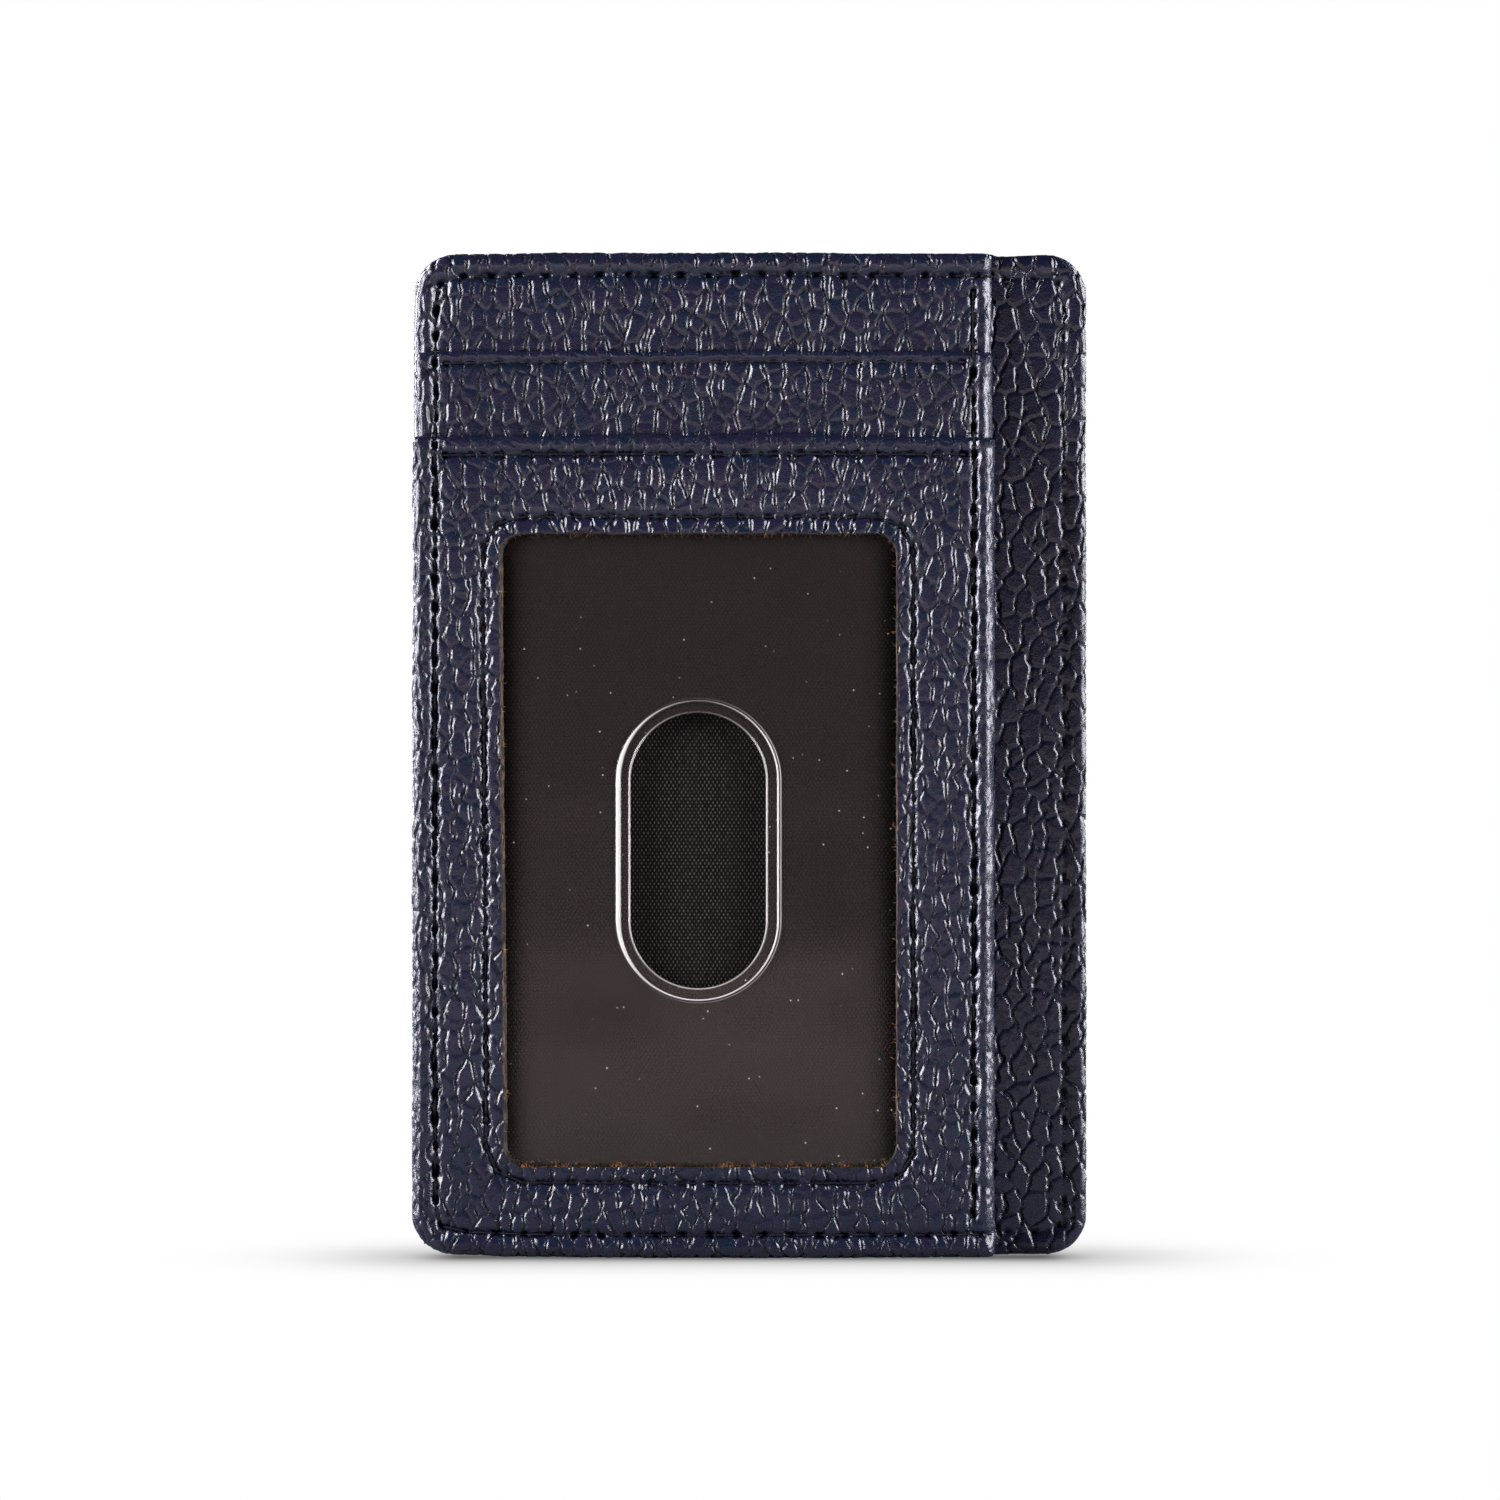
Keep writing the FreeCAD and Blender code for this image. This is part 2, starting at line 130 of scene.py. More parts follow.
# Seams, in mm
STITCH_PITCH = 3.1
SEAM_CORNER_R = 2.0
WINDOW_SEAM_CORNER_R = 3.9
THREAD_R = 0.12
THREAD_SINK = 0.35          # the thread's middle lies this far below the plain surface
STRIP_SINK = 0.1            # and this much further on the strip beside the lip
CAD_THREAD_R = 0.1
DIVE = 0.6                  # a stitch sinks this deep at its holes, over this length
TWIST = 6.5                 # radians a mm
HEM_SEAM_INSET = 1.0        # the hem seams end this far from the seams beside them
SEAM_REACH = 2.2            # a seam pulls the leather in this far to each side
SEAM_WANDER = 0.1
GROOVE = (0.28, 0.38)       # depth and half width of the groove along a seam,
HOLLOW = (0.10, 1.0)        # of the wide hollow around it,
PUCKER = (0.14, 0.85)       # and of the dimple around each needle hole
HOLE_DEPTH, HOLE_ACROSS, HOLE_ALONG = 0.45, 0.27, 0.52      # needle hole, with its half sizes
LINE_SHADE, LINE_ACROSS = 0.2, 0.2                          # painted shade along a seam: darkness and half width between holes
FAR = 99.0

# Loose fibres at the window's cut edge, in mm
FIBRES = 1500
FIBRE_PLACES = 200          # places a side where a fibre may grow
FOOT_SHARE = 0.65           # this share of them grows at the window's foot, the rest all around
FIBRE_LENGTH = (0.3, 1.05)
FIBRE_THICK = (0.02, 0.06)


# ---------- smooth noise and pebbled grain ----------

TABLE_SIDE = 256


@functools.lru_cache(maxsize=None)
def table(seed, *more):
    """Random numbers from 0 to 1, the same ones each time for a seed."""
    return np.random.default_rng(seed).uniform(0, 1, (TABLE_SIDE, TABLE_SIDE, *more))


def smooth(t):
    return t * t * (3 - 2 * t)


def step(low, high, value):
    """0 below low, 1 above high, smooth between."""
    return smooth(np.clip((value - low) / (high - low), 0, 1))


def bell(distance, width, power=2):
    """1 at no distance, and nearly 0 two widths away. A higher power has a flatter top."""
    return np.exp(-(distance / width) ** power)


def noise(x, z, scale, seed):
    """Smooth noise from -1 to 1 whose features are about scale across."""
    lots = table(seed)
    gx, gz = x / scale + 64, z / scale + 64
    ix, iz = np.floor(gx).astype(int), np.floor(gz).astype(int)
    fx, fz = smooth(gx - ix), smooth(gz - iz)
    ix, iz = ix % TABLE_SIDE, iz % TABLE_SIDE
    jx, jz = (ix + 1) % TABLE_SIDE, (iz + 1) % TABLE_SIDE
    near = lots[ix, iz] * (1 - fx) + lots[jx, iz] * fx
    far = lots[ix, jz] * (1 - fx) + lots[jx, jz] * fx
    return 2 * (near * (1 - fz) + far * fz) - 1


def loop_noise(points, scale, seed):
    """Noise around a loop, along axes turned by 45 degrees so that no side of the loop lies along one."""
    return noise(points.sum(1), points[:, 0] - points[:, 1], scale, seed)


def pebbles(x, z, size, seed):
    """Irregular staggered cells of about size (width, height) in mm.

    Returns the distance to the nearest cell wall in mm, how upright that wall is (0 to 1), the offset from
    the cell's middle in cell units, and one random number from 0 to 1 for each cell.
    """
    jitter = 0.06 + 0.88 * table(seed, 2)
    lots = table(seed + 1000)
    point = np.stack([x / size[0], z / size[1]], -1) + 96
    base = np.floor(point).astype(int)

    def middle_of(cell):
        i, j = cell[..., 0], cell[..., 1]
        middle = cell + jitter[i % TABLE_SIDE, j % TABLE_SIDE]
        middle[..., 0] += 0.5 * (j % 2) - 0.25
        return middle

    nearest = np.full(x.shape, np.inf)
    home, middle = base.copy(), point.copy()
    for i, j in np.ndindex(3, 3):
        cell = base + np.array([i - 1, j - 1])
        there = middle_of(cell)
        gap = ((there - point) ** 2).sum(-1)
        closer = gap < nearest
        nearest[closer], home[closer], middle[closer] = gap[closer], cell[closer], there[closer]
    wall = np.full(x.shape, np.inf)
    upright = np.zeros(x.shape)
    for i, j in np.ndindex(5, 5):
        if (i, j) == (2, 2):
            continue
        there = middle_of(home + np.array([i - 2, j - 2]))
        across = there - middle
        slope = np.hypot(across[..., 0] / size[0], across[..., 1] / size[1])
        gap = (((there + middle) / 2 - point) * across).sum(-1) / slope
        closer = gap < wall
        wall[closer] = gap[closer]
        upright[closer] = np.abs(across[closer, 0]) / size[0] / slope[closer]
    lot = lots[home[..., 0] % TABLE_SIDE, home[..., 1] % TABLE_SIDE]
    return wall, upright, point - middle, lot


@dataclasses.dataclass
class Grain:
    """Pebbled leather: flat-topped pebbles with V-shaped creases between them."""

    size: tuple             # of a pebble, across and up
    crease_width: float
    crease_depth: float
    level_share: float      # how much shallower a level crease is than an upright one
    sharpness: float        # 1 for a straight V, 0 for a rounded crease
    # painted shade at the bottom of the creases, from 0 to 1
    darkness: float
    seed: int

    def relief(self, x, z):
        """Height in mm, 0 on the pebble tops, and painted crease shade from 0 to 1, darker deeper in a
        crease.
        """
        warp = 0.17 * self.size[0]
        wx = x + warp * noise(x, z, 1.1, self.seed + 1) + 0.4 * warp * noise(x, z, 0.5, self.seed + 6)
        wz = z + warp * noise(x, z, 1.4, self.seed + 2) + 2.5 * warp * noise(x, z, 5.0, self.seed + 9)
        wall, upright, offset, lot = pebbles(wx, wz, self.size, self.seed)
        strength = 0.95 + 0.45 * noise(x, z, 0.7, self.seed + 3) + 0.2 * noise(x, z, 4.0, self.seed + 4)
        strength *= 1 - self.level_share * (1 - upright ** 2)
        width = self.crease_width * (1 + 0.3 * noise(x, z, 0.7, self.seed + 5))
        slope = np.clip(1 - wall / width, 0, 1)
        crease = self.sharpness * slope + (1 - self.sharpness) * smooth(slope)
        tilt = (lot - 0.5) * offset[..., 0] + (lot * 7 % 1 - 0.5) * offset[..., 1]
        height = -self.crease_depth * strength * crease
        height += 0.05 * (lot - 0.5 + tilt) * (1 - crease)
        height += (0.013 + 0.035 * crease) * noise(x, z, 0.32, self.seed + 7)
        height += 0.014 * noise(x, z, 0.8, self.seed + 8)
        # painted shade, darker deeper in a crease and where the crease is strong
        return height, self.darkness * crease * np.clip(strength, 0, 1)


# Pebble size, crease width and depth, level share, sharpness, painted crease shade and seed.
FRONT_GRAIN = Grain((1.65, 2.5), 0.38, 0.23, 0.7, 0.4, 0.65, 11)
STRIP_GRAIN = Grain((2.05, 3.3), 0.27, 0.31, 0.5, 1.0, 0.25, 23)
BACK_GRAIN = Grain((1.7, 2.6), 0.38, 0.21, 0.65, 0.4, 0.65, 37)


# ---------- outlines ----------

@dataclasses.dataclass
class Outline:
    """A rectangle in X and Z with its own radius at each corner, from the bottom left, anticlockwise."""

    left: float
    right: float
    bottom: float
    top: float
    radii: list

    def middle(self):
        return (self.left + self.right) / 2, (self.bottom + self.top) / 2

    def depth(self, x, z):
        """Distance inward from the outline, negative outside."""
        middle_x, middle_z = self.middle()
        low_left, low_right, high_right, high_left = self.radii
        lower = np.where(x < middle_x, low_left, low_right)
        upper = np.where(x < middle_x, high_left, high_right)
        radius = np.where(z < middle_z, lower, upper)
        past_x = np.abs(x - middle_x) - (self.right - self.left) / 2 + radius
        past_z = np.abs(z - middle_z) - (self.top - self.bottom) / 2 + radius
        outside = np.hypot(np.maximum(past_x, 0), np.maximum(past_z, 0))
        return radius - outside - np.minimum(np.maximum(past_x, past_z), 0)

    def loop(self, shares):
        """Points and outward normals around the outline, from the middle of the bottom left corner.

        For each side, from the bottom anticlockwise, shares says how far along it the points lie, 0 to 1.
        """
        corners = np.array([(self.left, self.bottom), (self.right, self.bottom),
                            (self.right, self.top), (self.left, self.top)], float)
        points, normals = [], []
        for side, ahead in enumerate([(1, 0), (0, 1), (-1, 0), (0, -1)]):
            ahead = np.array(ahead, float)
            out = np.array([ahead[1], -ahead[0]])
            start, end = corners[side], corners[(side + 1) % 4]
            first, second = self.radii[side], self.radii[(side + 1) % 4]
            straight = (end - start) @ ahead - first - second
            arc = first * math.pi / 4
            at = shares[side] * (straight + arc + second * math.pi / 4)
            before = np.minimum(at - arc, 0) / max(first, MM)
            after = np.maximum(at - arc - straight, 0) / max(second, MM)
            turn = before + after
            radius = np.where(turn < 0, first, second)
            radius = np.where(turn == 0, 0, radius)
            normal = np.cos(turn)[:, None] * out + np.sin(turn)[:, None] * ahead
            base = start + (np.clip(at - arc, 0, straight) + first)[:, None] * ahead
            points.append(base + radius[:, None] * (normal - out))
            normals.append(normal)
        return np.concatenate(points), np.concatenate(normals)

    def grown(self, by, radii=None):
        """The outline moved outward."""
        return Outline(self.left - by, self.right + by, self.bottom - by, self.top + by,
                       radii or [max(r + by, 0) for r in self.radii])


def lines(low, high, fine, hidden_to=None):
    """Mesh lines from low to high, fine apart, but far apart as far as hidden_to."""
    if hidden_to is None:
        return np.linspace(low, high, round((high - low) / fine) + 1)
    hidden = np.linspace(low, hidden_to, round((hidden_to - low) / HIDDEN_STEP) + 1)
    return np.concatenate([hidden[:-1], lines(hidden_to, high, fine)])


def side_shares(xs, zs):
    """Shares along the four sides of a rectangle whose mesh lines are xs and zs."""
    across = (xs - xs[0]) / (xs[-1] - xs[0])
    up = (zs - zs[0]) / (zs[-1] - zs[0])
    return [across[:-1], up[:-1], 1 - across[:0:-1], 1 - up[:0:-1]]


# ---------- seams ----------

def straight_seam(start, end):
    """Needle holes along a straight seam, as rows of (x, z)."""
    count = round(math.dist(start, end) / STITCH_PITCH)
    share = np.linspace(0, 1, count + 1)[:, None]
    return np.array(start) * (1 - share) + np.array(end) * share


def loop_seam(outline):
    """Needle holes around a closed seam. The first hole comes again at the end."""
    points, _ = outline.loop([np.linspace(0, 1, 400, endpoint=False)] * 4)
    points = np.concatenate([points, points[:1]])
    travel = np.concatenate([[0], np.cumsum(np.hypot(*np.diff(points, axis=0).T))])
    at = np.linspace(0, travel[-1], round(travel[-1] / STITCH_PITCH) + 1)
    return np.stack([np.interp(at, travel, line) for line in points.T], -1)


def seam_relief(x, z, holes):
    """How far one seam pulls the leather in, in mm, and the painted shade in its needle holes and along its
    line, from 0 to 1.
    """
    off_line, off_hole = np.full(x.shape, FAR), np.full(x.shape, FAR)
    x, z = x + SEAM_WANDER * noise(x, z, 1.2, 83), z + SEAM_WANDER * noise(x, z, 1.2, 84)
    for a, b in zip(holes, holes[1:]):
        low, high = np.minimum(a, b) - SEAM_REACH, np.maximum(a, b) + SEAM_REACH
        near = np.nonzero((x > low[0]) & (x < high[0]) & (z > low[1]) & (z < high[1]))[0]
        px, pz = x[near] - a[0], z[near] - a[1]
        ex, ez = b - a
        share = np.clip((px * ex + pz * ez) / (ex * ex + ez * ez), 0, 1)
        off_line[near] = np.minimum(off_line[near], np.hypot(px - share * ex, pz - share * ez))
        off_hole[near] = np.minimum(off_hole[near], np.minimum(np.hypot(px, pz), np.hypot(px - ex, pz - ez)))
    uneven = 1 + 0.45 * noise(x, z, 0.8, 81) + 0.3 * noise(x, z, 0.35, 82)
    groove = GROOVE[0] * uneven * bell(off_line, GROOVE[1])
    hollow = HOLLOW[0] * bell(off_line, HOLLOW[1])
    pucker = PUCKER[0] * bell(off_hole, PUCKER[1])
    along = np.sqrt(np.maximum(off_hole ** 2 - np.minimum(off_line, off_hole) ** 2, 0))
    hole = bell(off_line, HOLE_ACROSS * uneven, 4) * bell(along, HOLE_ALONG, 4)
    # Painted shade: black in the needle holes, a fainter dark line between them.
    dark = np.maximum(hole, LINE_SHADE * bell(off_line, LINE_ACROSS))
    return groove + hollow + pucker + HOLE_DEPTH * hole, dark


# ---------- meshes ----------

def quads_between(a, b):
    """Quads between two closed loops of vertex numbers of the same length."""
    return np.stack([a, b, np.roll(b, -1), np.roll(a, -1)], -1)


def cells(grid):
    """Quads between the neighbours in a grid of vertex numbers."""
    return np.stack([grid[:-1, :-1], grid[1:, :-1], grid[1:, 1:], grid[:-1, 1:]], -1).reshape(-1, 4)


def rim_of(grid):
    """The four sides of a grid, anticlockwise, each without its last corner."""
    return grid[:-1, 0], grid[-1, :-1], grid[:0:-1, -1], grid[0, :0:-1]


def fan(loop, centre):
    """Triangles from a closed loop of vertex numbers to one centre vertex."""
    return np.stack([loop, np.roll(loop, -1), np.full(len(loop), centre)], -1)


def volume(points, faces):
    """Six times the volume that the faces enclose, negative when they face inward."""
    total = 0.0
    for group in faces:
        corners = points[group]
        for k in range(1, corners.shape[1] - 1):
            a, b, c = corners[:, 0], corners[:, k], corners[:, k + 1]
            total += (a * np.cross(b, c)).sum()
    return total


def settled(points):
    """Points of the square stack, moved to where hand sewing leaves them."""
    x, y, z = points.T
    arch = 1 - (x / HALF_WIDTH) ** 2
    top = HEIGHT - 0.5
    upper, lower = step(60, top, z), 1 - step(0, 50, z)
    left_end = 1 - step(1.5 - HALF_WIDTH, 14.5 - HALF_WIDTH, x)
    lift = END_BOW * arch * upper + (FOOT_BOW * (1 - arch) + FOOT_LIFT * left_end) * lower
    lift += TOP_WAVE * noise(x, x * 0, 6.0, 91) * upper
    past_lip = x - LIP_X - 0.3
    lift -= TOP_DIP * step(-0.5, 0, past_lip) * bell(past_lip, 4) * step(top - 7, top, z)
    lean = WINDOW_LEAN * bell(x + 28, 5) * (1 - step(5, 85, z))
    return np.stack([x + lean, y, z + lift], -1)


def linked(name, data):
    """A new object in the scene."""
    obj = bpy.data.objects.new(name, data)
    bpy.context.scene.collection.objects.link(obj)
    return obj


def new_object(name, points, faces, materials, attributes=None):
    """A smooth closed mesh from points in mm. attributes holds a number or a vector for each point."""
    points = np.asarray(points, float)
    if volume(points, faces) < 0:
        faces = [group[:, ::-1] for group in faces]
    mesh = bpy.data.meshes.new(name)
    loops = np.concatenate([group.ravel() for group in faces])
    sizes = np.concatenate([np.full(len(group), group.shape[1]) for group in faces])
    mesh.vertices.add(len(points))
    mesh.vertices.foreach_set("co", (settled(points) * MM).astype(np.float32).ravel())
    mesh.loops.add(len(loops))
    mesh.loops.foreach_set("vertex_index", loops.astype(np.int32))
    mesh.polygons.add(len(sizes))
    mesh.polygons.foreach_set("loop_start", np.concatenate([[0], np.cumsum(sizes)[:-1]]).astype(np.int32))
    mesh.polygons.foreach_set("use_smooth", np.ones(len(sizes), bool))
    mesh.update(calc_edges=True)
    for key, values in (attributes or {}).items():
        values = np.asarray(values, np.float32)
        kind, field = ("FLOAT", "value") if values.ndim == 1 else ("FLOAT_VECTOR", "vector")
        mesh.attributes.new(key, kind, "POINT").data.foreach_set(field, values.ravel())
    for material in materials:
        mesh.materials.append(material)
    return linked(name, mesh)


class Skin:
    """Loops of points that are stacked into a skin, with directions for relief and grain coordinates."""

    def __init__(self):
        self.points, self.normals, self.grain = [], [], []

    def add(self, flat, y, normals, grain):
        y = np.broadcast_to(y, len(flat))
        self.points.append(np.stack([flat[:, 0], y, flat[:, 1]], -1))
        self.normals.append(normals)
        self.grain.append(grain)

    def faces(self, closed):
        around = len(self.points[0])
        ids = np.arange(len(self.points) * around).reshape(-1, around)
        groups = [quads_between(a, b) for a, b in zip(ids, ids[1:])]
        if closed:
            groups.append(quads_between(ids[-1], ids[0]))
        return ids, groups


def leaning(outward, forward_share, outward_share):
    """Unit directions between straight forward and straight outward."""
    forward_share, outward_share = (np.broadcast_to(s, len(outward)) for s in (forward_share, outward_share))
    lean = np.stack([outward[:, 0] * outward_share, -forward_share, outward[:, 1] * outward_share], -1)
    return lean / np.linalg.norm(lean, axis=1)[:, None]


# ---------- leather panels ----------

def shoulder(rows):
    """The rounding of an edge: for each row, its shares of the whole width and depth, and its tilt."""
    at, tilts = zip(*SHOULDER)
    finer = 20
    tilt = np.radians(np.interp(np.linspace(0, 1, finer * rows + 1), at, tilts))
    out, down = np.cumsum(np.cos(tilt)), np.cumsum(np.sin(tilt))
    return list(zip(out / out[-1], down / down[-1], tilt))[finer::finer]


@dataclasses.dataclass
class Panel:
    """A leather panel that faces -Y."""

    name: str
    outline: Outline
    front: float            # y of the sheet's front
    sheet: float            # y of the sheet's back
    hems: dict              # y of the back of the turned edge, at each side that has one
    seams: list
    grain: Grain
    seed: int
    mouth: bool = False     # the top is thin and open
    lip: bool = False       # the right edge is fuller and smoother
    hidden_x: float = None  # other pieces cover the face left of this,
    hidden_z: float = None  # or below this
    seam_share: float = 1.0     # below 1, the seams are shallower

    def back(self, flat):
        """Y of the back face."""
        x, z = flat[:, 0], flat[:, 1]
        o = self.outline
        inset = {"left": x - o.left, "right": o.right - x, "bottom": z - o.bottom, "top": o.top - z}
        y = np.full(len(flat), self.sheet)
        for side, level in self.hems.items():
            turned = 1 - step(TURNED_WIDTH - 0.15, TURNED_WIDTH + 0.15, inset[side])
            y = np.maximum(y, self.sheet + (level - self.sheet) * turned)
        return y

    def outer_loop(self, shares):
        """Points around the panel with their hand-made waves, and their outward normals."""
        points, normals = self.outline.loop(shares)
        wave = 0.045 * loop_noise(points, 8.0, self.seed) + 0.03 * loop_noise(points, 2.2, self.seed + 1)
        if self.mouth:
            near_top = step(self.outline.top - 0.6, self.outline.top - 0.1, points[:, 1])
            wave = wave + 0.16 * near_top * noise(points[:, 0], points[:, 0] * 0, 6.0, self.seed + 2)
        return points + normals * wave[:, None], normals

    def edge(self, flat):
        """Width and depth of the front's rounding, and the radius of the back's, around the panel."""
        o = self.outline
        width, depth = np.full(len(flat), EDGE_WIDTH), np.full(len(flat), EDGE_DEPTH)
        if self.lip:
            at_lip = step(o.right - 1.5, o.right - 0.3, flat[:, 0])
            width += (LIP_WIDTH - EDGE_WIDTH) * at_lip
            depth += (LIP_DEPTH - EDGE_DEPTH) * at_lip
        if self.mouth:
            width += (MOUTH_WIDTH - width) * step(o.top - 1.6, o.top - 0.3, flat[:, 1])
        thick = self.back(flat) - self.front
        depth = np.minimum(depth, 0.85 * thick)
        return np.minimum(width, 1.6 * depth), depth, np.minimum(BACK_R, 0.9 * (thick - depth))

    def skin(self, shares, inner, inset):
        """Rows from the inner loop across the front, over the edge and back to the inner loop."""
        outer, normal = self.outer_loop(shares)
        width, depth, back_r = self.edge(outer)
        start = outer - normal * width[:, None]
        skin = Skin()
        for share in np.linspace(0, 1, round(inset / GRAIN_ACROSS) + 1):
            flat = inner + (start - inner) * share
            skin.add(flat, self.front, leaning(normal, 1, 0), flat)
        for out, down, tilt in shoulder(ROUND_ROWS):
            travel = out * width + down * depth
            lean = leaning(normal, math.cos(tilt) * width, math.sin(tilt) * depth)
            skin.add(start + normal * (out * width)[:, None], self.front + down * depth, lean,
                     start + normal * travel[:, None])
        back = self.back(outer)
        wall = np.maximum(back - back_r - self.front - depth, 0)
        rows = max(1, round(wall.max() / WALL_STEP))
        for k in range(1, rows + 1):
            down = wall * k / rows
            grain = start + normal * (travel + down)[:, None]
            skin.add(outer, self.front + depth + down, leaning(normal, 0, 1), grain)
        travel = travel + wall
        for k in range(1, ROUND_ROWS + 1):
            angle = k / ROUND_ROWS * math.pi / 2
            flat = outer - normal * (back_r * (1 - math.cos(angle)))[:, None]
            grain = start + normal * (travel + back_r * angle)[:, None]
            skin.add(flat, back - back_r * (1 - math.sin(angle)),
                     leaning(normal, -math.sin(angle), math.cos(angle)), grain)
        last = outer - normal * back_r[:, None]
        hem_end = (TURNED_WIDTH - BACK_R) / (inset + EDGE_WIDTH - BACK_R)
        for share in (0.5 * hem_end, 0.9 * hem_end, 0.97 * hem_end, 1.03 * hem_end, 1.0):
            flat = last + (inner - last) * min(share, 1.0)
            skin.add(flat, self.back(flat), leaning(normal, -1, 0), flat)
        return skin

    def relief(self, points, normals, grain_place):
        """Height over the plain surface in mm, and painted shade of creases and seams from 0 to 1."""
        x, z = points[:, 0], points[:, 2]
        forward = np.clip(-normals[:, 1], 0, 1)
        shown = step(-0.8, -0.2, -normals[:, 1])
        grain, crease = self.grain.relief(grain_place[:, 0], grain_place[:, 1])
        pull, dark = np.zeros(len(x)), np.zeros(len(x))
        for seam in self.seams:
            depth, hole = seam_relief(x, z, seam)
            pull, dark = np.maximum(pull, depth), np.maximum(dark, hole)
        inset = self.outline.depth(x, z)
        swell = SWELL_HEIGHT * bell(inset - SWELL_INSET, SWELL_WIDTH)
        swell += SHEET_WAVE * noise(x, z, SHEET_WAVE_LENGTH, self.seed + 4)
        beads = sum(tall * noise(*grain_place.T, size, self.seed + 6 + k)
                    for k, (tall, size) in enumerate(BEADS))
        facing = step(0.0, 0.6, forward)
        beaded = (1 - step(0.8, 0.97, forward)) * (0.35 + 0.65 * facing)
        full = 0.25 + 0.75 * facing
        if self.lip:
            near_lip = step(self.outline.right - 2.3, self.outline.right - 1.5, x)
            full = full * (1 - 0.75 * near_lip)
            beaded = np.maximum(beaded, 1.2 * near_lip)
        if self.mouth:
            full = full * (1 - 0.45 * step(self.outline.top - 1.4, self.outline.top - 0.8, z))
        thin = self.back(np.stack([x, z], -1)) - self.front
        pull = np.minimum(self.seam_share * pull, 0.75 * thin)
        height = grain * full * (1 - 0.6 * dark) + beads * beaded + (swell - pull) * forward
        for value, covered_to in ((x, self.hidden_x), (z, self.hidden_z)):
            if covered_to is not None:
                height *= 1 - forward * (1 - step(covered_to, covered_to + 1, value))
        # The second value is painted shade: crease shade where the grain is full, seam shade on faces toward
        # the front.
        return height * shown, np.maximum(crease * full, dark * forward) * shown

    def finish(self, skin, groups, materials, more=None, mirrored=False):
        """Raise the relief and make the object. more holds further points, normals and grain coordinates."""
        parts = [skin.points, skin.normals, skin.grain]
        if more:
            parts = [part + [further] for part, further in zip(parts, more)]
        points, normals, grain = (np.concatenate(part) for part in parts)
        height, dark = self.relief(points, normals, grain)
        points = points + normals * height[:, None]
        if mirrored:
            points[:, 1] *= -1
        place = np.stack([grain[:, 0], grain[:, 1], np.zeros(len(grain))], -1)
        # The painted shade of creases and seams goes to the material as a point attribute.
        return new_object(self.name, points, groups, materials, {"painted_shade": dark, "grain": place})


def solid_panel(panel, material, mirrored=False):
    """A panel with no opening, meshed coarsely where it is covered."""
    inset = TURNED_WIDTH + 0.6
    core = panel.outline.grown(-inset, [0] * 4)
    xs = lines(core.left, core.right, GRAIN_ACROSS, panel.hidden_x)
    zs = lines(core.bottom, core.top, GRAIN_ALONG, panel.hidden_z)
    shares = side_shares(xs, zs)
    inner, _ = core.loop(shares)
    skin = panel.skin(shares, inner, inset - EDGE_WIDTH)
    ids, groups = skin.faces(False)
    nx, nz = len(xs) - 1, len(zs) - 1
    grid = np.empty((nx + 1, nz + 1), int)
    for side, numbers in zip(rim_of(grid), np.split(ids[0], [nx, nx + nz, 2 * nx + nz])):
        side[:] = numbers
    gx, gz = np.meshgrid(xs[1:-1], zs[1:-1], indexing="ij")
    grid[1:-1, 1:-1] = ids.size + np.arange(gx.size).reshape(gx.shape)
    groups.append(cells(grid))
    groups.append(fan(ids[-1], ids.size + gx.size)[:, ::-1])
    grain = np.concatenate([np.stack([gx.ravel(), gz.ravel()], -1), [core.middle()]])
    y = np.full(len(grain), panel.front)
    y[-1] = panel.sheet
    points = np.stack([grain[:, 0], y, grain[:, 1]], -1)
    normals = np.tile([0.0, -1.0, 0.0], (len(points), 1))
    normals[-1] *= -1
    return panel.finish(skin, groups, [material], (points, normals, grain), mirrored)


def framed_panel(panel, opening, material, cut_material):
    """A panel around an opening whose edge is cut, not turned, and leans into view, most at its left."""
    outline = panel.outline
    xs = lines(outline.left, outline.right, GRAIN_ACROSS)
    zs = lines(outline.bottom, outline.top, GRAIN_ALONG)
    shares = side_shares(xs, zs)
    inner, out = opening.loop(shares)
    inner = inner + out * (0.05 * loop_noise(inner, 4.0, 61))[:, None]
    inset = np.hypot(*(outline.loop(shares)[0] - inner).T).mean()
    skin = panel.skin(shares, inner, inset - EDGE_WIDTH)
    fray = 0.05 * loop_noise(inner, 0.45, 62)
    facing_in = 0.13 + 0.33 * np.clip(-out[:, 0], 0, 1) ** 2
    for k in range(1, CUT_ROWS):
        share = k / CUT_ROWS
        lean = (facing_in + fray) * (1 - share) + 0.06 * math.sin(3 * math.pi * share)
        y = panel.sheet + (panel.front - panel.sheet) * share
        skin.add(inner - out * lean[:, None], y, leaning(out, -1, 0), inner)
    _, groups = skin.faces(True)
    piece = panel.finish(skin, groups, [material, cut_material])
    slots = np.zeros(len(piece.data.polygons), np.int32)
    slots[-CUT_ROWS * len(inner):] = 1
    piece.data.polygons.foreach_set("material_index", slots)
    return piece


# ---------- thread, film, linings and fibres ----------

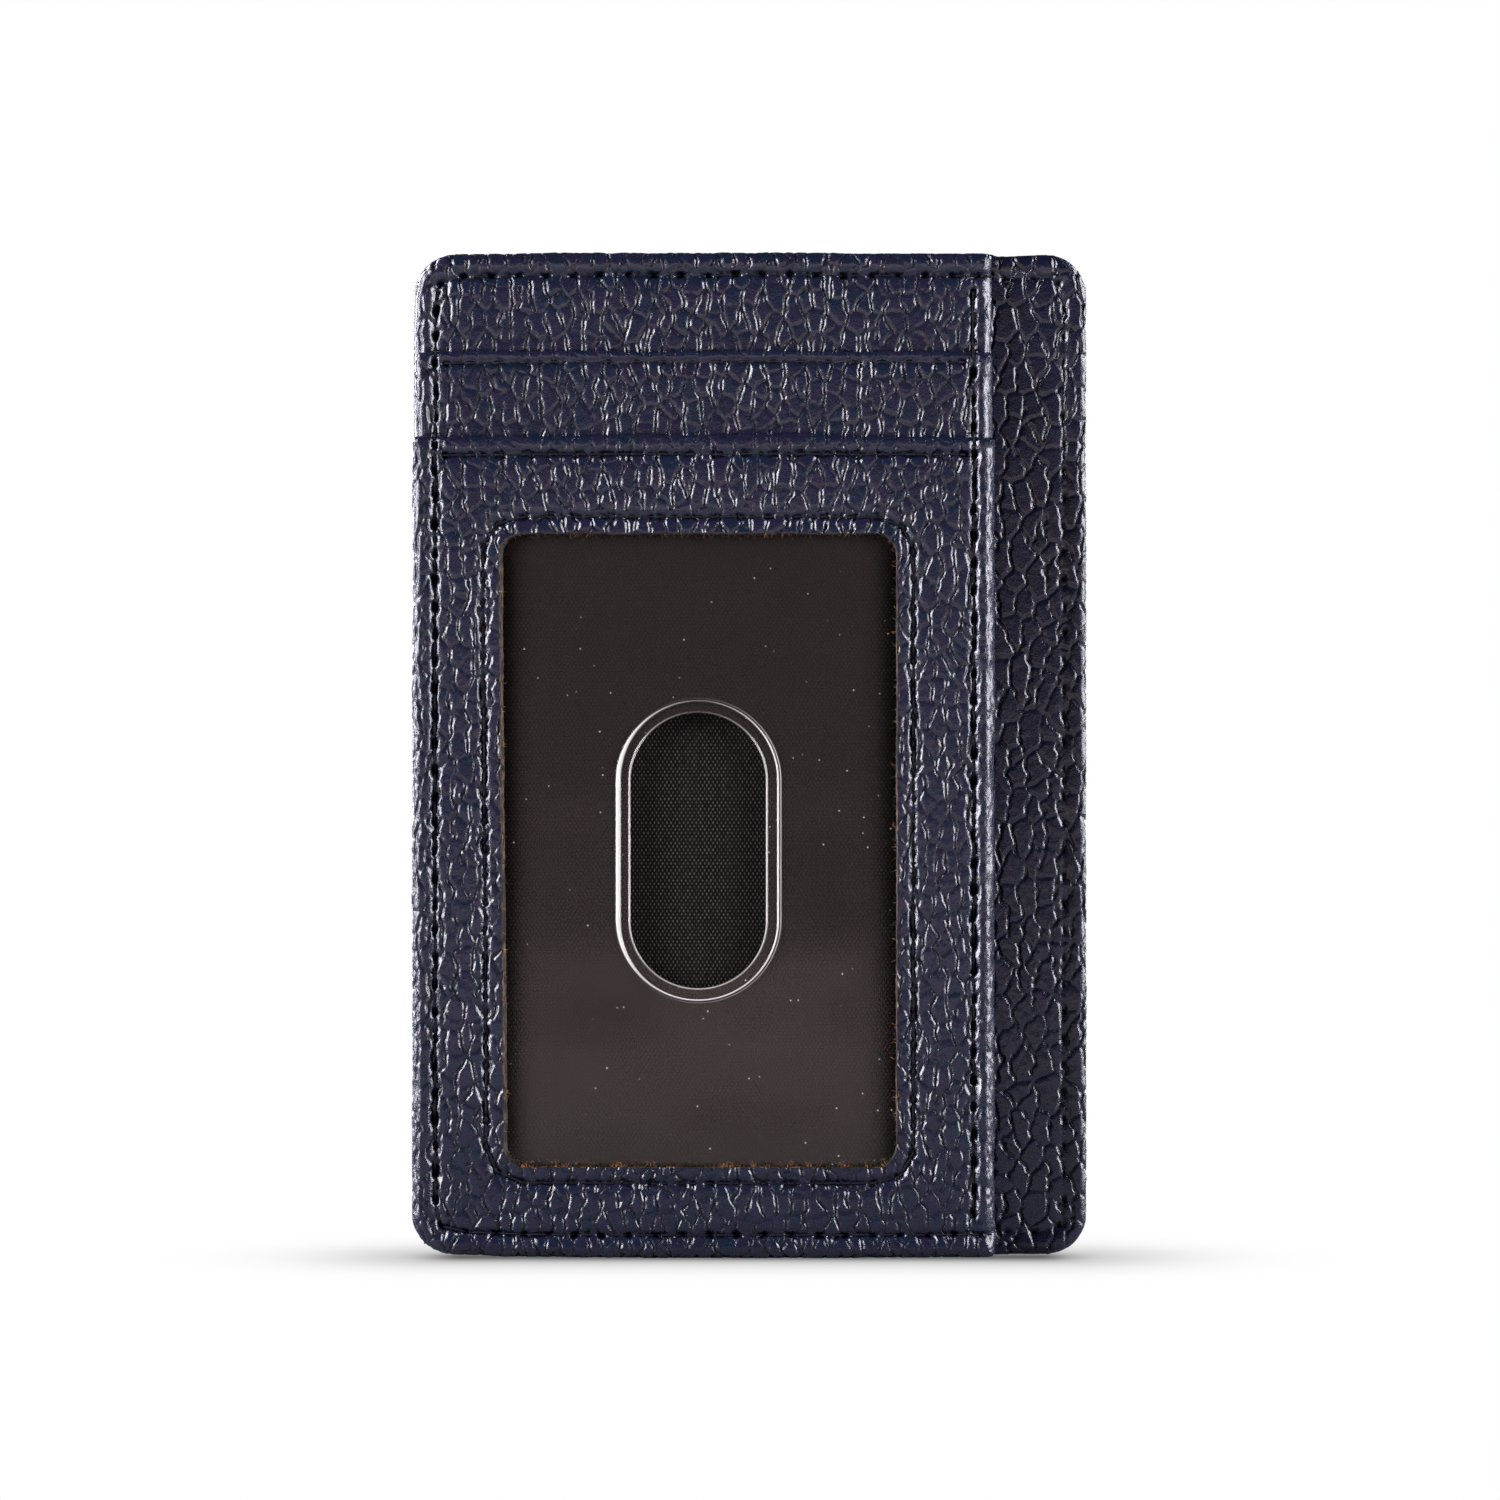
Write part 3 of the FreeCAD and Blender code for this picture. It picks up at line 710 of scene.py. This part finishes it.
def stitches(name, holes, surface, out, material):
    """Twisted thread, one closed stitch between each two needle holes.

    surface(x, z) gives the y of the thread's middle, and out is -1 on the holder's front or 1 on its back.
    """
    share = (1 - np.cos(np.linspace(0, math.pi, STITCH_ROWS))) / 2
    turn = np.arange(STITCH_SIDES) / STITCH_SIDES * 2 * math.pi
    points, faces, count = [], [], 0
    for number, (a, b) in enumerate(zip(holes, holes[1:])):
        length = math.dist(a, b)
        ahead = (b - a) / length
        side = np.array([-ahead[1], 0, ahead[0]])
        flat = a + (b - a) * share[:, None]
        at = share * length
        dive = DIVE * (bell(at, DIVE) + bell(length - at, DIVE))
        y = surface(flat[:, 0], flat[:, 1]) - out * dive
        centre = np.stack([flat[:, 0], y, flat[:, 1]], -1)
        tangent = np.gradient(centre, axis=0)
        up = np.cross(side, tangent)
        up /= np.linalg.norm(up, axis=1)[:, None]
        swirl = 3 * turn[None, :] + TWIST * (at + number * length)[:, None]
        radius = THREAD_R * (0.9 + 0.18 * np.cos(swirl))
        around = np.cos(turn)[None, :, None] * side + np.sin(turn)[None, :, None] * up[:, None]
        rim = centre[:, None] + radius[..., None] * around
        points += [rim.reshape(-1, 3), centre[[0, -1]]]
        ids = count + np.arange(STITCH_ROWS * STITCH_SIDES).reshape(STITCH_ROWS, STITCH_SIDES)
        faces += [quads_between(p, q) for p, q in zip(ids, ids[1:])]
        faces += [fan(ids[0], ids.max() + 1), fan(ids[-1], ids.max() + 2)[:, ::-1]]
        count += STITCH_ROWS * STITCH_SIDES + 2
    return new_object(name, np.concatenate(points), faces, [material])


def film_piece(low, high, thumb, material):
    """Slightly wavy film with a welded rim around its thumb slot, as one closed sheet."""
    sheet = Outline(low[0], high[0], low[2], high[2], [WINDOW_R + FILM_MARGIN] * 4)
    shares = [np.linspace(0, 1, 90, endpoint=False)] * 4
    inner, normal = thumb.loop(shares)
    outer, _ = sheet.loop(shares)
    back = high[1] - GAP
    front = back - FILM_THICK
    rim = np.arange(0, RIM_WIDTH + 0.5, RIM_STEP)
    leftward = 0.5 - 0.5 * normal[:, 0]
    ridge_width = 0.09 + 0.16 * leftward ** 8
    # Painted highlight: the rim's white marks are strongest at the sides and the foot, where the side
    # softboxes and the floor would light them.
    lit = 0.25 + 0.75 * np.maximum(np.abs(normal[:, 0]) ** 1.5, np.clip(-normal[:, 1], 0, 1))
    skin, painted_rim_highlight, shade = Skin(), [], []

    def wave(flat):
        x, z = flat[:, 0], flat[:, 1]
        calm = step(0.0, 9.0, sheet.depth(x, z) - FILM_MARGIN)
        return calm * (0.10 * noise(x, z, 17.0, 71) + 0.03 * noise(x, z, 6.0, 72))

    def add(flat, level, lift, glow):
        skin.add(flat, level - lift - wave(flat), leaning(normal, 1, 0), flat)
        # Painted highlight of the welded rim.
        painted_rim_highlight.append(np.broadcast_to(glow, len(flat)))
        # Painted shade near the window's sides.
        aside = np.minimum(flat[:, 0] - low[0], high[0] - flat[:, 0]) - FILM_MARGIN
        shade.append(bell(np.maximum(aside, 0), SHADE_WIDTH))

    for distance in rim:
        edge = bell(distance - 0.13, 0.1)
        ridge = bell(distance - RIM_WIDTH + 0.35, ridge_width, 4)
        outer_line = bell(distance - RIM_WIDTH + 0.05, 0.07) * (1 - leftward)
        land = 0.10 * (1 - step(RIM_WIDTH - 0.4, RIM_WIDTH, distance))
        # The last value is painted highlight on the slot's edge, the ridge and the outer line.
        add(inner + normal * distance, front, 0.13 * edge + 0.24 * ridge + 0.08 * outer_line + land,
            (0.6 * edge + ridge + 0.7 * outer_line) * lit)
    start = inner + normal * rim[-1]
    far = np.linspace(0, 1, FILM_ROWS + 1)[1:]
    for share in far:
        add(start + (outer - start) * share, front, 0.0, 0.0)
    for share in far[::-1]:
        add(start + (outer - start) * share, back, 0.0, 0.0)
    for distance in rim[::-4]:
        add(inner + normal * distance, back, 0.0, 0.0)
    _, groups = skin.faces(True)
    # The rim's painted highlight and the painted side shade go to the material as point attributes.
    return new_object("id_window_film_sheet", np.concatenate(skin.points), groups, [material],
                      {"painted_rim_highlight": np.concatenate(painted_rim_highlight), "shade": np.concatenate(shade)})


def lining_piece(name, node, material, seed, insets):
    """A thin closed cloth sheet with slight waves. insets stay free at its left, right, bottom and top."""
    low, high = span(node)
    left, right = low[0] + insets[0], high[0] - insets[1]
    bottom, top = low[2] + insets[2], high[2] - insets[3]
    sheet = Outline(left, right, bottom, top, [0] * 4)
    gx, gz = np.meshgrid(lines(left, right, CLOTH_STEP), lines(bottom, top, CLOTH_STEP), indexing="ij")
    calm = step(0, 7, sheet.depth(gx, gz))
    wave = 0.05 * calm * (noise(gx, gz, 15.0, seed) + 0.4 * noise(gx, gz, 5.0, seed + 1))
    front = np.stack([gx, low[1] + wave, gz], -1).reshape(-1, 3)
    back = np.stack([gx, high[1] + wave, gz], -1).reshape(-1, 3)
    ids = np.arange(gx.size).reshape(gx.shape)
    quads = cells(ids)
    rim = np.concatenate(rim_of(ids))
    faces = [quads, quads[:, ::-1] + gx.size, quads_between(rim, rim + gx.size)]
    return new_object(name, np.concatenate([front, back]), faces, [material])


def fibre_piece(opening, front, back, material):
    """Loose fibres along the window's cut edge, most of them at its foot, as thin closed spikes."""
    rng = np.random.default_rng(5)
    loop, normal = opening.loop([np.linspace(0, 1, FIBRE_PLACES, endpoint=False)] * 4)
    points, faces = [], []
    for number in range(FIBRES):
        sides = 1 if rng.uniform() < FOOT_SHARE else 4
        at = int(rng.uniform(0, sides * FIBRE_PLACES))
        inward = np.array([-normal[at, 0], 0, -normal[at, 1]])
        ahead = np.array([normal[at, 1], 0, -normal[at, 0]])
        root = np.array([loop[at, 0], rng.uniform(front + 0.1, back - 0.1), loop[at, 1]])
        length = rng.uniform(*FIBRE_LENGTH)
        lean = inward + ahead * rng.uniform(-1, 1) + np.array([0, rng.uniform(-0.5, 0.1), 0])
        lean *= length / np.linalg.norm(lean)
        thick = rng.uniform(*FIBRE_THICK)
        across = np.array([0, thick, 0])
        ring = [ahead * thick, across - ahead * thick / 2, -across - ahead * thick / 2]
        middle = root + lean * 0.55
        tip = root + lean + ahead * rng.uniform(-0.4, 0.4) * length
        points.append([root - inward * 0.15 + r for r in ring] + [middle + r for r in ring] + [tip])
        lower = 7 * number + np.arange(3)
        faces += [quads_between(lower, lower + 3), fan(lower + 3, 7 * number + 6), lower[::-1][None]]
    return new_object("window_edge_fibres", np.concatenate(points), faces, [material])


# ---------- materials ----------

def rgb(r, g, b):
    return (r, g, b, 1.0)


class Nodes:
    """Short-hand for the node tree of a material or a world."""

    def __init__(self, name, kind="Material"):
        self.kind = kind
        self.owner = (bpy.data.worlds if kind == "World" else bpy.data.materials).new(name)
        self.owner.use_nodes = True
        self.tree = self.owner.node_tree
        self.tree.nodes.clear()

    def put(self, socket, value):
        if isinstance(value, bpy.types.NodeSocket):
            self.tree.links.new(value, socket)
        else:
            socket.default_value = value

    def add(self, kind, inputs=None, **settings):
        """A node of this kind. Returns its first output."""
        node = self.tree.nodes.new("ShaderNode" + kind)
        for key, value in settings.items():
            setattr(node, key, value)
        for key, value in (inputs or {}).items():
            self.put(node.inputs[key], value)
        return node.outputs[0]

    def math(self, operation, a, b=0.0, c=0.0):
        return self.add("Math", {0: a, 1: b, 2: c}, operation=operation)

    def times(self, a, b):
        return self.math("MULTIPLY", a, b)

    def mix(self, share, a, b):
        return self.add("Mix", {0: share, 6: a, 7: b}, data_type="RGBA").node.outputs[2]

    def noise(self, place, scale, detail=2.0):
        return self.add("TexNoise", {"Vector": place, "Scale": scale, "Detail": detail})

    def ramp(self, value, low, high, start=0.0, end=1.0):
        """Value moved from low..high to start..end, clamped."""
        return self.add("MapRange", {0: value, 1: low, 2: high, 3: start, 4: end})

    def attribute(self, name, output="Fac"):
        return self.add("Attribute", attribute_name=name).node.outputs[output]

    def object_place(self):
        return self.add("TexCoord").node.outputs["Object"]

    def axes(self):
        """Separate x, y and z of the place."""
        return self.add("SeparateXYZ", {0: self.object_place()}).node.outputs

    def bump(self, height, depth, under=None):
        """Normals of a relief that is depth mm deep."""
        inputs = {"Height": height, "Distance": depth * MM}
        if under is not None:
            inputs["Normal"] = under
        return self.add("Bump", inputs)

    def surface(self, base, roughness, normal, **more):
        inputs = {"Base Color": base, "Roughness": roughness, "Normal": normal}
        inputs.update({key.replace("_", " "): value for key, value in more.items()})
        return self.finish(self.add("BsdfPrincipled", inputs))

    def finish(self, shader):
        self.put(self.tree.nodes.new("ShaderNodeOutput" + self.kind).inputs["Surface"], shader)
        return self.owner


def leather(name, violet, teal):
    """Navy leather: hue drifts between pebbles, painted shade darkens creases and needle holes and takes
    their shine, pores are fine.
    """
    n = Nodes(name)
    place = n.attribute("grain", "Vector")
    painted_shade = n.attribute("painted_shade")
    base = n.mix(n.ramp(n.noise(place, 0.38), 0.40, 0.60), violet, teal)
    light = n.ramp(n.noise(place, 1.1, 3.0), 0.3, 0.7, 0.80, 1.18)
    base = n.add("VectorMath", {0: base, "Scale": light}, operation="SCALE")
    # Painted shade: creases and needle holes turn nearly black.
    base = n.mix(painted_shade, base, rgb(0.0015, 0.0015, 0.003))
    pores = n.noise(place, 6.0, 3.0)
    wrinkles = n.add("TexVoronoi", {"Vector": place, "Scale": 2.2}, feature="DISTANCE_TO_EDGE")
    normal = n.bump(n.ramp(wrinkles, 0.0, 0.16), 0.012)
    normal = n.bump(pores, 0.028, normal)
    # The painted shade also roughens creases and holes and takes away their specular and coat shine.
    rough = n.math("MULTIPLY_ADD", painted_shade, 0.05, n.ramp(pores, 0.3, 0.7, 0.23, 0.35))
    return n.surface(base, rough, normal, IOR=1.6, Specular_IOR_Level=n.ramp(painted_shade, 0.4, 1.0, 0.5, 0.05),
                     Coat_Weight=n.ramp(painted_shade, 0.4, 1.0, 0.5, 0.0), Coat_Roughness=0.16)


def raw_edge(foot):
    """The leather's cut edge: tan and fibrous, darker in patches, dark and speckled at the window's foot."""
    n = Nodes("raw_cut_edge")
    place = n.object_place()
    layered = n.add("VectorMath", {0: place, 1: (0.5, 6, 0.5)}, operation="MULTIPLY")
    streaks = n.noise(layered, 1800.0, 3.0)
    base = n.mix(n.ramp(streaks, 0.42, 0.60), rgb(0.014, 0.009, 0.006), rgb(0.19, 0.135, 0.085))
    base = n.mix(n.ramp(n.noise(place, 260.0), 0.45, 0.65), base, rgb(0.035, 0.026, 0.022))
    specks = n.ramp(n.noise(place, 1400.0), 0.56, 0.66)
    dark = n.mix(specks, rgb(0.020, 0.014, 0.007), rgb(0.26, 0.11, 0.04))
    base = n.mix(n.ramp(n.axes()[2], (foot + 1.2) * MM, (foot + 0.4) * MM), base, dark)
    return n.surface(base, 0.9, n.bump(streaks, 0.08))


def fibres():
    n = Nodes("suede_fibres")
    tone = n.ramp(n.noise(n.object_place(), 900.0), 0.52, 0.66)
    base = n.mix(tone, rgb(0.050, 0.034, 0.010), rgb(0.62, 0.28, 0.10))
    return n.surface(base, 0.7, n.bump(tone, 0.01))


def thread_finish():
    n = Nodes("navy_thread")
    strands = n.noise(n.object_place(), 4200.0, 2.0)
    base = n.mix(strands, rgb(0.004, 0.004, 0.007), rgb(0.022, 0.020, 0.030))
    return n.surface(base, 0.75, n.bump(strands, 0.05), Specular_IOR_Level=0.2)


TWILL_PITCH = 0.48


def twill():
    """Dark twill lining: short floats in diagonal order with a faint yarn shine."""
    n = Nodes("lining_twill")
    place = n.object_place()
    axes = n.axes()
    turn = 2 * math.pi / (TWILL_PITCH * MM)
    across = n.times(axes[0], turn)
    up = n.times(axes[2], 0.62 * turn)
    waves = [n.math("MULTIPLY_ADD", n.math("SINE", n.math(way, across, up)), 0.5, 0.5)
             for way in ("ADD", "SUBTRACT")]
    uneven = n.ramp(n.noise(place, 1500.0), 0.25, 0.75, 0.45, 1.2)
    floats = n.times(n.times(*waves), uneven)
    base = n.mix(n.ramp(floats, 0.2, 0.8), rgb(0.0020, 0.0013, 0.0010), rgb(0.105, 0.084, 0.072))
    return n.surface(base, 0.65, n.bump(floats, 0.05), Specular_IOR_Level=0.15)


def clear_film():
    """Clear film: see-through with a soft mirror, a little haze, painted highlights as white on the welded
    rim, painted shade near the window's sides and specks of dust.
    """
    n = Nodes("clear_film")
    place = n.object_place()
    normal = n.bump(n.noise(place, 70.0), 0.05)
    # Painted shade: less mirror and haze near the window's sides.
    unshaded_share = n.math("MULTIPLY_ADD", n.attribute("shade"), -0.85, 1.0)
    mirror_share = n.times(n.add("Fresnel", {"IOR": 1.46, "Normal": normal}), unshaded_share)
    clear = n.add("BsdfTransparent", {"Color": rgb(0.62, 0.60, 0.59)})
    mirror = n.add("BsdfGlossy", {"Color": rgb(1, 0.97, 0.93), "Roughness": 0.16, "Normal": normal})
    axes = n.axes()
    flat = n.add("CombineXYZ", {0: axes[0], 1: axes[2]})
    speck = n.add("TexVoronoi", {"Vector": flat, "Scale": 400.0}, voronoi_dimensions="2D")
    rare = n.ramp(n.noise(place, 330.0, 0.0), 0.60, 0.70)
    dust = n.times(n.ramp(speck, 0.038, 0.020), rare)
    # White marks: real specks of dust, and painted highlight on the welded rim.
    white = n.math("MAXIMUM", dust, n.times(n.attribute("painted_rim_highlight"), 0.97))
    tint = n.mix(n.ramp(white, 0.0, 0.5), rgb(0.70, 0.53, 0.48), rgb(1.0, 0.955, 0.89))
    haze = n.add("BsdfDiffuse", {"Color": tint})
    haze_share = n.math("MAXIMUM", white, n.times(unshaded_share, 0.037))
    body = n.add("MixShader", {0: haze_share, 1: clear, 2: haze})
    return n.finish(n.add("MixShader", {0: mirror_share, 1: body, 2: mirror}))


def board():
    n = Nodes("leather_board")
    fibre = n.noise(n.object_place(), 900.0, 5.0)
    base = n.mix(fibre, rgb(0.20, 0.14, 0.09), rgb(0.34, 0.25, 0.17))
    return n.surface(base, 0.9, n.bump(fibre, 0.05))


# ---------- studio ----------

PICTURE_WIDTH = 171.3 * MM      # across the picture, at the holder
LENS, SENSOR = 200.0, 36.0
CAMERA_RISE = 0.6 * MM          # above the holder's middle
FLOOR_RADIUS, FLOOR_SIDES = 0.9, 96
FOOT_SHADOWS = ((16, 22, 0.42), (4, 8, 0.45))   # painted shadows, soft then contact: reach in X and Y in mm, and darkness
SOFTBOX_SIZE = 0.2, 0.52
SOFTBOX_COLOUR = 0.93, 0.92, 1.0
SOFTBOXES = (                   # place in metres and power in watts
    ("softbox_left", (-0.57, -0.185, 0.22), 7.1),
    ("softbox_right", (0.57, -0.185, 0.22), 5.3),
    ("softbox_back_left", (-0.45, 0.38, 0.27), 5.8),
    ("softbox_back_right", (0.45, 0.38, 0.27), 5.8),
)


def softbox(name, place, power, target):
    """Rectangular light that faces target."""
    data = bpy.data.lights.new(name, "AREA")
    data.shape = "RECTANGLE"
    data.size, data.size_y = SOFTBOX_SIZE
    data.energy, data.color = power, SOFTBOX_COLOUR
    light = linked(name, data)
    light.location = place
    light.rotation_euler = (Vector(target) - Vector(place)).to_track_quat("-Z", "Y").to_euler()


def floor(low, high):
    """Pale floor that the camera sees as white, apart from a painted soft shadow around the holder's foot;
    glossy rays see a painted warm glow on the floor far in front.
    """
    n = Nodes("studio_floor")
    rays = n.add("LightPath").node.outputs
    axes = n.axes()
    beside = n.math("MAXIMUM", n.math("SUBTRACT", n.math("ABSOLUTE", axes[0]), 0.85 * high[0]), 0.0)
    away = n.math("ABSOLUTE", axes[1])
    # Painted shadow around the foot, in what the camera sees.
    light = 1.0
    for reach_x, reach_y, darkness in FOOT_SHADOWS:
        squares = [n.math("POWER", n.math("DIVIDE", gap, reach * MM), 2.0)
                   for gap, reach in ((beside, reach_x), (away, reach_y))]
        shadow = n.math("EXPONENT", n.times(n.math("ADD", *squares), -1.0))
        light = n.math("SUBTRACT", light, n.times(shadow, darkness))
    seen = n.add("Emission", {"Strength": light})
    paper = n.add("BsdfDiffuse", {"Color": rgb(0.23, 0.23, 0.25)})
    # Painted reflection: the floor far in front glows warm for glossy rays only, to brighten the film's lower
    # part.
    mirrored = n.times(n.ramp(axes[1], -0.2, -0.35), rays["Is Glossy Ray"])
    reflection_glow = n.add("Emission", {"Color": rgb(1, 0.78, 0.74), "Strength": mirrored})
    unseen = n.add("AddShader", {0: paper, 1: reflection_glow})
    material = n.finish(n.add("MixShader", {0: rays["Is Camera Ray"], 1: unseen, 2: seen}))

    mesh = bpy.data.meshes.new("floor")
    turns = np.arange(FLOOR_SIDES) / FLOOR_SIDES * 2 * math.pi
    rim = [(FLOOR_RADIUS * math.cos(t), FLOOR_RADIUS * math.sin(t), 0.0) for t in turns]
    mesh.from_pydata(rim, [], [tuple(range(FLOOR_SIDES))])
    mesh.materials.append(material)
    obj = linked("floor", mesh)
    obj.location.z = low[2] - GAP * MM


def surroundings():
    """A dim room for the light, and plain white for the camera."""
    n = Nodes("studio", "World")
    rays = n.add("LightPath").node.outputs
    room = n.add("Background", {"Color": rgb(0.92, 0.94, 1.0), "Strength": 0.038})
    white = n.add("Background", {"Color": rgb(1, 1, 1), "Strength": 1.0})
    bpy.context.scene.world = n.finish(n.add("MixShader", {0: rays["Is Camera Ray"], 1: room, 2: white}))


def studio(low, high):
    middle = (low[2] + high[2]) / 2
    target = (0, 0, middle)
    for box in SOFTBOXES:
        softbox(*box, target)
    floor(low, high)
    surroundings()
    data = bpy.data.cameras.new("camera")
    data.lens, data.sensor_width = LENS, SENSOR
    camera = linked("camera", data)
    camera.location = (0.0, -PICTURE_WIDTH * LENS / SENSOR, middle + CAMERA_RISE)
    camera.rotation_euler = (math.pi / 2, 0, 0)
    bpy.context.scene.camera = camera
    bpy.context.scene.view_settings.view_transform = "Standard"


# ---------- the holder ----------

def place(piece, slot, *nodes):
    """Let a piece ride with the holder and stand for CAD nodes, which it hides. slot is not used."""
    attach(piece, BODY)
    if nodes:
        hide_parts(*nodes)


def outline_of(node, radii, right=None):
    """A CAD node's outline, cut short at right."""
    low, high = span(node)
    return Outline(low[0], high[0] if right is None else right, low[2], high[2], radii)


def seam_box(seam, radius=0):
    """The outline that a seam's needle holes lie on, from the box of its thread."""
    return outline_of(seam + "_upper_thread", [0] * 4).grown(-CAD_THREAD_R, [radius] * 4)


def stack_panel(name, node, node_behind, setback, seams, seed, mouth=True, hidden_z=None):
    """A panel of the front stack. One without a mouth has a turned top and only a thin hem at its lip."""
    (_, front, _), (_, sheet, _) = span(node)
    radii = [CORNER_R, SMALL_CORNER_R, SMALL_CORNER_R, SMALL_CORNER_R if mouth else CORNER_R]
    hem = span(node_behind)[0][1] - HEM_CLEARANCE - GAP
    hems = {"left": hem, "bottom": hem, "right": hem}
    if not mouth:
        hems.update(top=hem, right=sheet + LIP_HEM)
    return Panel(name, outline_of(node, radii, LIP_X - setback), front, sheet, hems, seams, FRONT_GRAIN, seed,
                 mouth=mouth, lip=True, hidden_z=hidden_z)


def build():
    perimeter_box = seam_box("perimeter_seam", SEAM_CORNER_R)
    perimeter = loop_seam(perimeter_box)
    window_seam = loop_seam(seam_box("window_seam", WINDOW_SEAM_CORNER_R))
    lip_box = seam_box("lip_seam")
    lip_seam = straight_seam((lip_box.left, lip_box.bottom), (lip_box.left, lip_box.top))

    def hem_seam(seam):
        start, end = perimeter_box.left + HEM_SEAM_INSET, lip_box.left - HEM_SEAM_INSET
        level = seam_box(seam).bottom
        return straight_seam((start, level), (end, level))

    id_hem, slot_hem = hem_seam("id_mouth_hem"), hem_seam("slot_mouth_hem")

    navy = leather("navy_leather", rgb(0.0125, 0.0097, 0.0345), rgb(0.0042, 0.0111, 0.0325))
    # Painted shade: a darker copy of the navy leather for the strip beside the lip, which lies in the lip's
    # shadow.
    shaded_strip_navy = leather("navy_leather_strip_painted_shade", rgb(0.0040, 0.0037, 0.0245), rgb(0.0022, 0.0042, 0.0220))
    thread, cloth = thread_finish(), twill()

    opening = outline_of("id_window_film", [0] * 4).grown(-FILM_MARGIN, [WINDOW_R] * 4)
    window = stack_panel("window_panel_leather", "id_window_panel", "slot_panel", 0,
                         [perimeter, lip_seam, window_seam, id_hem], 3)
    piece = framed_panel(window, opening, navy, raw_edge(opening.bottom))
    place(piece, "navy_leather", "id_window_panel", "id_pocket_turned_edges")
    place(fibre_piece(opening, window.front, window.sheet, fibres()), "navy_leather")

    slot = stack_panel("slot_panel_leather", "slot_panel", "backing_panel", LIP_SETBACK,
                       [perimeter, lip_seam, slot_hem], 5, hidden_z=window.outline.top - UNDERLAP)
    place(solid_panel(slot, navy), "navy_leather", "slot_panel", "slot_pocket_turned_edges")

    backing = stack_panel("backing_panel_leather", "backing_panel", "base_facing_panel", BACKING_SETBACK,
                          [perimeter, lip_seam], 7, mouth=False, hidden_z=slot.outline.top - UNDERLAP)
    place(solid_panel(backing, navy), "navy_leather", "backing_panel", "centre_pocket_turned_edges")

    whole = outline_of("base_facing_panel", [CORNER_R] * 4)
    sides = ("left", "right", "bottom", "top")
    (_, front, _), (_, sheet, _) = span("base_facing_panel")
    (_, rear_sheet, _), (_, rear_front, _) = span("rear_panel")
    seam_level = (sheet + rear_sheet) / 2
    facing = Panel("base_facing_leather", whole, front, sheet, dict.fromkeys(sides, seam_level - GAP),
                   [perimeter], STRIP_GRAIN, 9, hidden_x=LIP_X - UNDERLAP, seam_share=0.4)
    place(solid_panel(facing, shaded_strip_navy), "navy_leather", "base_facing_panel")

    rear = Panel("rear_panel_leather", whole, -rear_front, -rear_sheet,
                 dict.fromkeys(sides, -seam_level - GAP), [perimeter], BACK_GRAIN, 15)
    place(solid_panel(rear, navy, mirrored=True), "navy_leather", "rear_panel", "rear_panel_turned_edges")

    x, z = opening.middle()
    thumb = Outline(x - THUMB_WIDTH / 2, x + THUMB_WIDTH / 2, z - THUMB_HEIGHT / 2, z + THUMB_HEIGHT / 2,
                    [THUMB_WIDTH / 2 - 0.01] * 4)
    place(film_piece(*span("id_window_film"), thumb, clear_film()), "clear_film", "id_window_film")

    hidden = TURNED_WIDTH + INNER_RIM
    for name, node, insets in (
        ("id_pocket_lining_cloth", "slot_panel_lining", [INNER_RIM * 3] * 3 + [0]),
        ("card_slot_lining_cloth", "backing_panel_lining", [INNER_RIM * 3] * 3 + [0]),
        ("centre_front_lining_cloth", "centre_pocket_front_lining", [hidden] * 4),
        ("centre_rear_lining_cloth", "centre_pocket_rear_lining", [INNER_RIM * 4] * 4),
    ):
        place(lining_piece(name, node, cloth, len(name), insets), "lining_twill", node)

    def front_surface(x, z):
        """Y of the thread's middle on the sewn front, which steps down at each mouth and at the lip."""
        y = window.front + (slot.front - window.front) * step(-0.1, 0.5, z - window.outline.top)
        y = y + (backing.front - slot.front) * step(-0.1, 0.5, z - slot.outline.top)
        y = y + LIP_DEPTH * np.clip((x - LIP_X) / LIP_WIDTH + 1, 0, 1) ** 3
        return y + (facing.front + STRIP_SINK - y) * step(-0.25, 0.25, x - LIP_X) + THREAD_SINK

    def behind(node):
        level = span(node)[1][1] - THREAD_R
        return lambda x, z: np.full(len(x), level)

    for seam, holes in (("perimeter_seam", perimeter), ("lip_seam", lip_seam), ("window_seam", window_seam),
                        ("id_mouth_hem", id_hem), ("slot_mouth_hem", slot_hem)):
        upper, bobbin = seam + "_upper_thread", seam + "_bobbin_thread"
        place(stitches(seam + "_upper_stitches", holes, front_surface, -1, thread), "navy_thread", upper)
        place(stitches(seam + "_lower_stitches", holes, behind(bobbin), 1, thread), "navy_thread", bobbin)

    for material_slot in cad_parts["base_stiffener"].material_slots:
        material_slot.material = board()


build()
studio(cad_low, cad_high)
